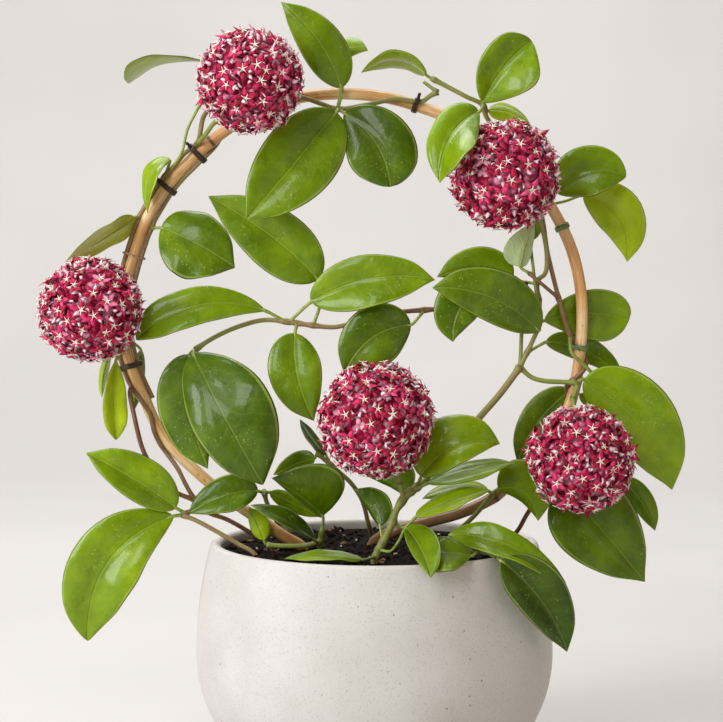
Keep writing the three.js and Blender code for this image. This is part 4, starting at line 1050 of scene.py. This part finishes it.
grow("shoot_left_front", [
    ([*rooted(321, 551), (321, 540, -7), (322, 528, -11)], 1.3, 0.3, 0.1),
    ([(321, 541, -6), (308, 545, -8), (287, 546, -9), (266, 545, -9)], 1.3, 0.3, 0.1),
], [
    # broad, folded up along its midrib
    Leaf([(321, 536, -9)], (323, 516, -14), (301, 496, -20), (271, 478, -22), (6, 12), (43, 4), 0.34,
         widest=0.3),
    # dark, low to the left
    Leaf([(321, 546, -4)], (314, 540, -14), (284, 520, -24), (250, 505, -26), (5, -8), (12, 10), 0.2),
    # bright and small, over the soil
    Leaf([(266, 546, -9)], (264, 540, -10), (258, 524, -9), (249, 507, -8), (9, 3), (11, 3), 0.85),
])
grow("shoot_middle_back", [
    ([*rooted(372, 541), (368, 522, 16), (362, 500, 10), (351, 483, 4), (338, 471, 1),
      (317, 453, -4)], 1.3, 0.5, 0.3),
], [
    # olive
    Leaf([(318, 454, -4)], (315, 458, -3), (297, 463, -2), (273, 475, -4), (10, 3), (11, 3), 0.5),
    # narrow and dark, upright
    Leaf([(330, 464, 0)], (326, 455, -2), (312, 438, -4), (300, 419, -6), (6, 6), (5, -4), 0.2),
])
grow("shoot_front_right", [
    ([*rooted(452, 556), (462, 549, -40), (473, 551, -58), (486, 552, -64), (497, 556, -66)], 1.3, 0.3, 0.1),
], [
    # long, over the rim
    Leaf([(462, 549, -40)], (450, 535, -46), (507, 546, -64), (566, 583, -62), (17, 6), (13, -10), 0.55),
    # hangs down over the pot's side
    Leaf([(496, 556, -66)], (501, 561, -74), (541, 601, -66), (567, 652, -58), (31, 4), (22, -6), 0.16),
    # low over the rim, pointing left
    Leaf([(480, 551, -61)], (471, 556, -74), (446, 553, -80), (413, 553, -72), (19, -16), (17, 10), 0.5,
         widest=0.55),
])
grow("shoot_low_right", [
    ([*rooted(437, 549), (452, 536, -6), (474, 516, -12), (493, 494, -14)], 1.3, 0.4, 0.2),
], [
    # dark and glossy
    Leaf([(493, 494, -14)], (498, 489, -17), (524, 492, -20), (538, 521, -20), (31, 9), (10, 4), 0.62),
    # pale and glossy, pointing left
    Leaf([(492, 495, -14)], (488, 491, -18), (456, 488, -22), (422, 499, -24), (9, -4), (8, 8), 0.85),
])


# Flower heads: balls of small waxy flowers on pale stalks. Each flower has five
# velvety crimson petals that bend back, and an ivory star of five thin points.
# Between the open flowers, petals of others show from the side and from behind.
FLOWERS_PER_BALL = 100
SIDE_PETALS_PER_BALL = 420
FLOWER_SINK = 2.6 * MM
SIDE_PETAL_SINK = 5.0 * MM
FLOWER_REACH = 6.4 * MM
PETAL_HALF_WIDTH = 1.95 * MM
PETAL_THICKNESS = 0.36 * MM
PETAL_ARCH = 0.8 * MM
PETAL_DROOP = 2.2 * MM
PETAL_FOLD = 0.32
PETAL_WIDEST = 0.22
PETAL_SWELL, PETAL_TAPER = 0.4, 1.5
PETAL_BUNCHING = 1.35
PETAL_LEAN = 0.16
PETAL_HALF_ARCH = 0.85
PETAL_FOLD_START = 0.4
PETAL_FULL_THICK = 0.9
PETAL_TURN_SCATTER, STAR_TURN_SCATTER = 0.1, 0.05
PETAL_START = 0.4 * MM
PETAL_SIZES, PETAL_DROOPS = (0.88, 1.14), (-0.9, 0.7)
SIDE_PETAL_SIZES, SIDE_PETAL_DROOPS = (0.62, 0.9), (-0.6, 0.6)
SIDE_PETAL_RAISE = -0.75
PETAL_ROWS = 3
PETAL_COLUMNS = 2
STAR_REACH = 2.8 * MM
STAR_WIDTH = 0.4 * MM
STAR_POINT = 0.06 * MM
STAR_LIFT = 1.8 * MM
STAR_TILT = math.radians(81)
KNOB_RADII = (0.8 * MM, 0.25 * MM)
KNOB_HEIGHT = 0.9 * MM
FLOWER_ROOT = [(0.6, 1.0), (-2, 0.6), (-8, 0.4)]
CORE_SHARE = 0.85
FLOWER_KINDS = 7
PETAL, STAR, FLOWER_STALK, CORE = range(4)
GOLDEN_TURN = math.pi * (3 - math.sqrt(5))
HEAD_SCATTER = 0.06
COPY_SIZES = (0.9, 1.1)
FLOWER_WOBBLE, SIDE_PETAL_WOBBLE = 0.2, 0.35
PALE_LIFT, SEAT_SCATTER = 1.5, 0.5
PALE_PATCHES, PALE_PATCH_LEVEL = 3.1, 0.16
PALE_STRAYS = 0.26
PALE_SHADES, DARK_SHADES = (0.66, 1.1), (0, 0.3)
OPEN_SHADES, OPEN_PALE_RISE, OPEN_PALE_SHARE = (0, 0.2), 0.2, 0.5


def add_petal(bm, draw, around, size, droop):
    """A pointed petal that leaves the axis in a direction, arches and bends back."""
    lean = draw.gauss(0, PETAL_LEAN)
    hue = draw.random()
    forward = Vector((math.cos(around), math.sin(around), 0))
    beside = Vector((-math.sin(around), math.cos(around), 0))

    def place(x, y, side):
        x = x ** PETAL_BUNCHING
        share = 0
        if 0 < x < 1:
            taper = ((1 - x) / (1 - PETAL_WIDEST)) ** PETAL_TAPER
            share = (x / PETAL_WIDEST) ** PETAL_SWELL * taper
        wide = PETAL_HALF_WIDTH * size * share * y
        rise = PETAL_ARCH * math.sin(math.pi * PETAL_HALF_ARCH * x) - droop * PETAL_DROOP * x ** 3
        rise += lean * wide - PETAL_FOLD * abs(wide) * (PETAL_FOLD_START + x)
        rise += side * PETAL_THICKNESS / 2 * (abs(y) < PETAL_FULL_THICK and share > 0)
        out = PETAL_START + FLOWER_REACH * size * x
        return forward * out + beside * wide + Vector((0, 0, rise)), (hue, side, 0), (x, y, 0)

    add_lens(bm, PETAL_ROWS, PETAL_COLUMNS, (PETAL, PETAL), place)


def new_flower(draw):
    """One flower with its face upward and the root of its stalk below it."""
    bm = new_growth()
    for petal in range(5):
        around = math.tau * petal / 5 + draw.gauss(0, PETAL_TURN_SCATTER)
        add_petal(bm, draw, around, draw.uniform(*PETAL_SIZES), draw.uniform(*PETAL_DROOPS))
    for point in range(5):
        around = math.tau * (point + 0.5) / 5 + draw.gauss(0, STAR_TURN_SCATTER)
        ray = bmesh.ops.create_cone(bm, segments=4, radius1=STAR_WIDTH, radius2=STAR_POINT,
                                    depth=STAR_REACH, cap_ends=True)["verts"]
        turn = Matrix.Rotation(around, 4, "Z") @ Matrix.Rotation(STAR_TILT, 4, "Y")
        raised = Matrix.Translation((0, 0, STAR_LIFT)) @ turn
        bmesh.ops.transform(bm, verts=ray, matrix=raised @ Matrix.Translation((0, 0, STAR_REACH / 2)))
        give_finish(ray, STAR)
    knob = bmesh.ops.create_cone(bm, segments=5, radius1=KNOB_RADII[0], radius2=KNOB_RADII[1],
                                 depth=KNOB_HEIGHT, cap_ends=True)["verts"]
    bmesh.ops.translate(bm, verts=knob, vec=(0, 0, STAR_LIFT - 0.1 * MM))
    give_finish(knob, STAR)
    root = [Vector((0, 0, height * MM)) for height, _ in FLOWER_ROOT]
    add_tube(bm, root, [radius * MM for _, radius in FLOWER_ROOT], 4, FLOWER_STALK)
    return kept_mesh("flower", bm)


def new_side_petal(draw):
    """One petal that stands half upright, its tip bent out."""
    bm = new_growth()
    add_petal(bm, draw, 0, draw.uniform(*SIDE_PETAL_SIZES), draw.uniform(*SIDE_PETAL_DROOPS))
    raised = Matrix.Rotation(SIDE_PETAL_RAISE, 3, "Y")
    bmesh.ops.rotate(bm, verts=bm.verts, cent=(0, 0, 0), matrix=raised)
    return kept_mesh("side_petal", bm)


velvet, tree, skin, (along, across, shade) = growth_material(
    "crimson_velvet", Roughness=0.62, Specular_IOR_Level=0.15, Sheen_Weight=0.06, Sheen_Roughness=0.4,
    Sheen_Tint=rgb(255, 190, 210))
hue = node(tree, "SeparateXYZ", {"Vector": skin}).outputs["X"]
where = object_place(tree)
shade = calc(tree, "ADD", calc(tree, "MULTIPLY", hue, 0.42), shade)
colour = ramp(tree, shade, (0.0, 128, 0, 34), (0.2, 176, 0, 50), (0.42, 212, 6, 80),
              (0.6, 240, 56, 122), (0.78, 253, 168, 198), (1.0, 255, 228, 236))
colour = tinted(
    tree, colour,
    (fade(tree, along, 0.6, 1.0), 0.85, 88, 0, 40),
    (fade(tree, calc(tree, "ABSOLUTE", across), 0.45, 1.0), 0.34, 232, 120, 158),
    (fade(tree, grain(tree, where, 3400, 2.0), 0.56, 0.7), 0.4, 250, 196, 212),
    # each petal darkens towards the flower's middle: partly its dark throat, partly painted shadow under the
    # raised star
    (fade(tree, along, 0.02, 0.2, 1.0, 0.0), 0.9, 60, 0, 18),
)
surface(tree, colour, (grain(tree, where, 2600, 2.0), 0.2 * MM))


def mottled(name, scale, detail, low, high, depth=0, **sockets):
    """A material mottled between two colours, each (position, red, green, blue)."""
    material, tree = new_material(name, **sockets)
    mottle = grain(tree, object_place(tree), scale, detail)
    surface(tree, ramp(tree, mottle, low, high), *([(mottle, depth)] if depth else []))
    return material


ivory = mottled("ivory_star", 300, 2.0, (0.3, 252, 240, 222), (0.7, 255, 253, 246),
                Roughness=0.3, Coat_Weight=0.2)
pale_stalk = mottled("flower_stalk", 260, 2.0, (0.35, 206, 140, 146), (0.65, 206, 196, 140),
                     Roughness=0.6, Sheen_Weight=0.2)
packed, tree = new_material("packed_petals", Roughness=0.8, Specular_IOR_Level=0.2)
cells = node(tree, "TexVoronoi", {"Vector": object_place(tree), "Scale": 330.0}).outputs
pick = node(tree, "SeparateColor", {"Color": cells["Color"]}).outputs[0]
colour = ramp(tree, pick, (0.0, 120, 0, 34), (0.4, 180, 12, 66), (0.6, 214, 66, 116),
              (0.8, 238, 150, 180), (1.0, 250, 206, 220))
# Dark borders round the cells are painted shade in the gaps between the packed petals.
colour = tinted(tree, colour, (fade(tree, cells["Distance"], 0.35, 0.75), 0.6, 52, 0, 14))
surface(tree, colour, (calc(tree, "SUBTRACT", 1.0, cells["Distance"]), 1.6 * MM))

flower_finishes = [velvet, ivory, pale_stalk, packed]
draw = random.Random(404)
flowers = [new_flower(draw) for kind in range(FLOWER_KINDS)]
side_petals = [new_side_petal(draw) for kind in range(FLOWER_KINDS)]


def scatter(reach):
    """A random step in any direction."""
    return Vector([draw.gauss(0, 1) for axis in range(3)]) * reach


def spread_over_ball(bm, kinds, count, first_turn, seat_height, wobble, shade_of):
    """Sets copies of small meshes evenly over a ball, each facing out."""
    _, look = growth_layers(bm)
    for index in range(count):
        height = 1 - (2 * index + 1) / count
        around = index * GOLDEN_TURN + first_turn
        girth = math.sqrt(1 - height * height)
        towards = Vector((girth * math.cos(around), girth * math.sin(around), height))
        towards = (towards + scatter(HEAD_SCATTER)).normalized()
        turn = (towards + scatter(wobble)).to_track_quat("Z", "Y").to_matrix().to_4x4()
        turn = turn @ Matrix.Rotation(draw.uniform(0, math.tau), 4, "Z")
        shade = shade_of(towards)
        lift = (PALE_LIFT * shade + draw.gauss(0, SEAT_SCATTER)) * MM
        seat = Matrix.Translation(towards * (seat_height + lift))
        first = len(bm.verts)
        bm.from_mesh(kinds[draw.randrange(len(kinds))])
        bm.verts.ensure_lookup_table()
        fresh = bm.verts[first:]
        for vert in fresh:
            vert[look].z = shade
        bmesh.ops.transform(bm, matrix=seat @ turn @ Matrix.Scale(draw.uniform(*COPY_SIZES), 4), verts=fresh)


for name, ball in BALLS.items():
    radius = ball_radius(ball)
    centre = seen(ball.centre)
    bm = new_growth()
    core = bmesh.ops.create_icosphere(bm, subdivisions=3, radius=radius * CORE_SHARE)["verts"]
    give_finish(core, CORE)

    def open_shade(towards):
        shade = draw.uniform(*OPEN_SHADES)
        return shade + (OPEN_PALE_RISE if draw.random() < ball.pale * OPEN_PALE_SHARE else 0)

    def side_shade(towards):
        patch = noise.noise(towards * PALE_PATCHES + centre * 40)
        pale = patch > PALE_PATCH_LEVEL - ball.pale or draw.random() < PALE_STRAYS
        return draw.uniform(*(PALE_SHADES if pale else DARK_SHADES))

    for kinds, count, first_turn, sink, wobble, shade_of in (
        (flowers, FLOWERS_PER_BALL, radius * 1000, FLOWER_SINK, FLOWER_WOBBLE, open_shade),
        (side_petals, SIDE_PETALS_PER_BALL, radius * 300, SIDE_PETAL_SINK, SIDE_PETAL_WOBBLE, side_shade),
    ):
        spread_over_ball(bm, kinds, count, first_turn, radius - sink, wobble, shade_of)
    bmesh.ops.translate(bm, vec=centre, verts=bm.verts)
    add_piece("flowers_" + name, bm, flower_finishes, "bloom", name)


# Ties: soft plastic bands, each wound once round the cane and the stems beside
# it. The brown ones end in a short twisted tail, and the one on the left above
# the flower head is a turn of thin tan wire instead.
TIES = {
    "tie_low_left": (131, 366, [0, 180], "brown"), "tie_left": (135, 256, [0, 180], "tan"),
    "tie_upper_left": (166, 187, [0, 180], "brown"), "tie_top_left": (197, 154, [20, 45, 185], "brown"),
    "tie_top_right": (416, 105, [65], "brown"), "tie_upper_right": (562, 227, [], "green"),
    "tie_right": (580, 347, [190, 225], "green"),
}
TIE_COLOURS = {
    "brown": ((34, 24, 16), (78, 58, 38)), "green": ((74, 100, 48), (126, 148, 92)),
    "tan": ((150, 112, 72), (206, 172, 130)),
}
TIE_HALF_WIDTH = {"brown": 1.5 * MM, "green": 1.5 * MM, "tan": 0.5 * MM}
TIE_HALF_THICKNESS = 0.42 * MM
TIE_CLEARANCE = 0.5 * MM
TIE_SKEW = 0.25 * MM
TIE_EDGE_ROUND, TIE_FACE_ROUND = 0.5, 0.7
TIE_STEPS = 40
TIE_SIDES = 10
TAIL_LENGTH = 3.6 * MM
TAIL_RADIUS = 0.5 * MM
TAIL_TWIST = 0.45 * MM
TAIL_STEPS = 8
TAIL_SPIRAL = 1.1
TAIL_LEAN = 0.4
TAIL_SPACING = 0.7 * MM
TAIL_TURN = math.radians(35)


def rounded_off(wave, power):
    """A wave between -1 and 1 made squarer, for a band with soft edges."""
    return math.copysign(abs(wave) ** power, wave)


tie_finishes = {
    finish: mottled(finish + "_tie", 700, 3.0, (0.35, *low), (0.7, *high), 0.15 * MM, Roughness=0.4)
    for finish, (low, high) in TIE_COLOURS.items()
}

for name, (across, down, angles, finish) in TIES.items():
    centre, outward, nearer = hoop_frame(across, down)
    along = outward.cross(nearer)
    circles = [(0, 0, CANE_RADIUS * 1.03)]
    for turn in map(math.radians, angles):
        circles.append((HUG * math.cos(turn), HUG * math.sin(turn), STEM_RADIUS * 1.05))

    def band_point(turn, lift, extra):
        """A point of the band at an angle round the bundle."""
        x, y = math.cos(turn), math.sin(turn)
        at_x, at_y, radius = max(circles, key=lambda c: c[0] * x + c[1] * y + c[2])
        reach = radius + TIE_CLEARANCE + extra
        return centre + outward * (at_x + x * reach) + nearer * (at_y + y * reach) + along * lift

    bm = new_growth()
    half_width = TIE_HALF_WIDTH[finish]
    verts = bmesh.ops.create_grid(bm, x_segments=TIE_STEPS, y_segments=TIE_SIDES, size=1)["verts"]
    for vert in verts:
        turn = -math.pi * vert.co.x
        side = math.pi * vert.co.y
        lift = rounded_off(math.cos(side), TIE_EDGE_ROUND) * half_width + TIE_SKEW * math.sin(turn * 2)
        thick = rounded_off(math.sin(side), TIE_FACE_ROUND) * TIE_HALF_THICKNESS
        vert.co = band_point(turn, lift, thick)
    bmesh.ops.remove_doubles(bm, verts=verts, dist=WELD)
    for strand in (0, math.pi) if finish == "brown" else ():
        twist = []
        for step in range(TAIL_STEPS + 1):
            spiral = strand + step * TAIL_SPIRAL
            reach = TAIL_LENGTH * step / TAIL_STEPS
            aside = TAIL_TWIST * math.sin(spiral) + reach * TAIL_LEAN
            point = band_point(TAIL_TURN, TAIL_TWIST * math.cos(spiral), reach)
            twist.append(point + along.cross(outward) * aside)
        line = smooth_line(twist, TAIL_SPACING)
        add_tube(bm, line, [TAIL_RADIUS * (half_width / MM) ** 0.5] * len(line), 6)
    bmesh.ops.recalc_face_normals(bm, faces=bm.faces)
    add_piece("band_" + name, bm, [tie_finishes[finish]], "tie", name)


# Floor and backdrop: one sheet of pale paper, level under the pot and curved up
# behind it.
FLOOR_HALF_WIDTH = 3.0
FLOOR_FRONT = -2.4
FLOOR_BACK = 1.3
FLOOR_DROP = 0.1 * MM
SWEEP_RADIUS = 0.8
BACKDROP_TOP = 2.6

bm = bmesh.new()
verts = bmesh.ops.create_grid(bm, x_segments=1, y_segments=40, size=1)["verts"]
flat = FLOOR_BACK - FLOOR_FRONT
bent = SWEEP_RADIUS * math.pi / 2
for vert in verts:
    run = (vert.co.y + 1) / 2 * (flat + bent + BACKDROP_TOP)
    turn = min(max(run - flat, 0) / SWEEP_RADIUS, math.pi / 2)
    y = FLOOR_FRONT + min(run, flat) + SWEEP_RADIUS * math.sin(turn)
    z = SWEEP_RADIUS * (1 - math.cos(turn)) + max(0, run - flat - bent)
    vert.co = (vert.co.x * FLOOR_HALF_WIDTH, y, z - FLOOR_DROP)
paper = mottled("pale_paper", 3, 2.0, (0.3, 205, 202, 199), (0.7, 211, 208, 205), Roughness=0.9)
placed("pale_floor", kept_mesh("pale_floor", bm, [paper]))


# Light: a tall cool light at the left and a slim one nearer, a weak warm fill
# from the right, and a little light from above and on the backdrop, in a faint
# warm glow from all round.
PLANT_MIDDLE = (0, 0, 0.22)
WHITE = (1.0, 1.0, 1.0)
for name, place, target, width, height, power, tint in (
    ("tall_light", (-1.4, -0.9, 0.75), PLANT_MIDDLE, 0.6, 1.0, 20, (0.98, 0.99, 1.0)),
    ("slim_light", (-0.72, -1.45, 1.15), PLANT_MIDDLE, 0.42, 1.3, 13, WHITE),
    ("warm_fill", (1.5, -1.4, 0.6), PLANT_MIDDLE, 1.5, 1.3, 5, (1.0, 0.84, 0.64)),
    ("top_light", (-0.3, 0.3, 1.5), PLANT_MIDDLE, 0.9, 0.9, 10, WHITE),
    ("backdrop_light", (0, 0.7, 1.9), (0, 2.0, 0.5), 2.4, 0.8, 32, (0.97, 0.985, 1.0)),
):
    lamp = bpy.data.lights.new(name, "AREA")
    lamp.shape = "RECTANGLE"
    lamp.size, lamp.size_y = width, height
    lamp.energy = power
    lamp.color = tint
    light = placed(name, lamp)
    light.location = place
    light.rotation_euler = (Vector(target) - Vector(place)).to_track_quat("-Z", "Y").to_euler()

world = bpy.data.worlds.new("faint_glow")
world.use_nodes = True
background = world.node_tree.nodes["Background"].inputs
background["Color"].default_value = rgb(242, 230, 214)
background["Strength"].default_value = 0.21
bpy.context.scene.world = world
bpy.context.scene.view_settings.view_transform = "Standard"
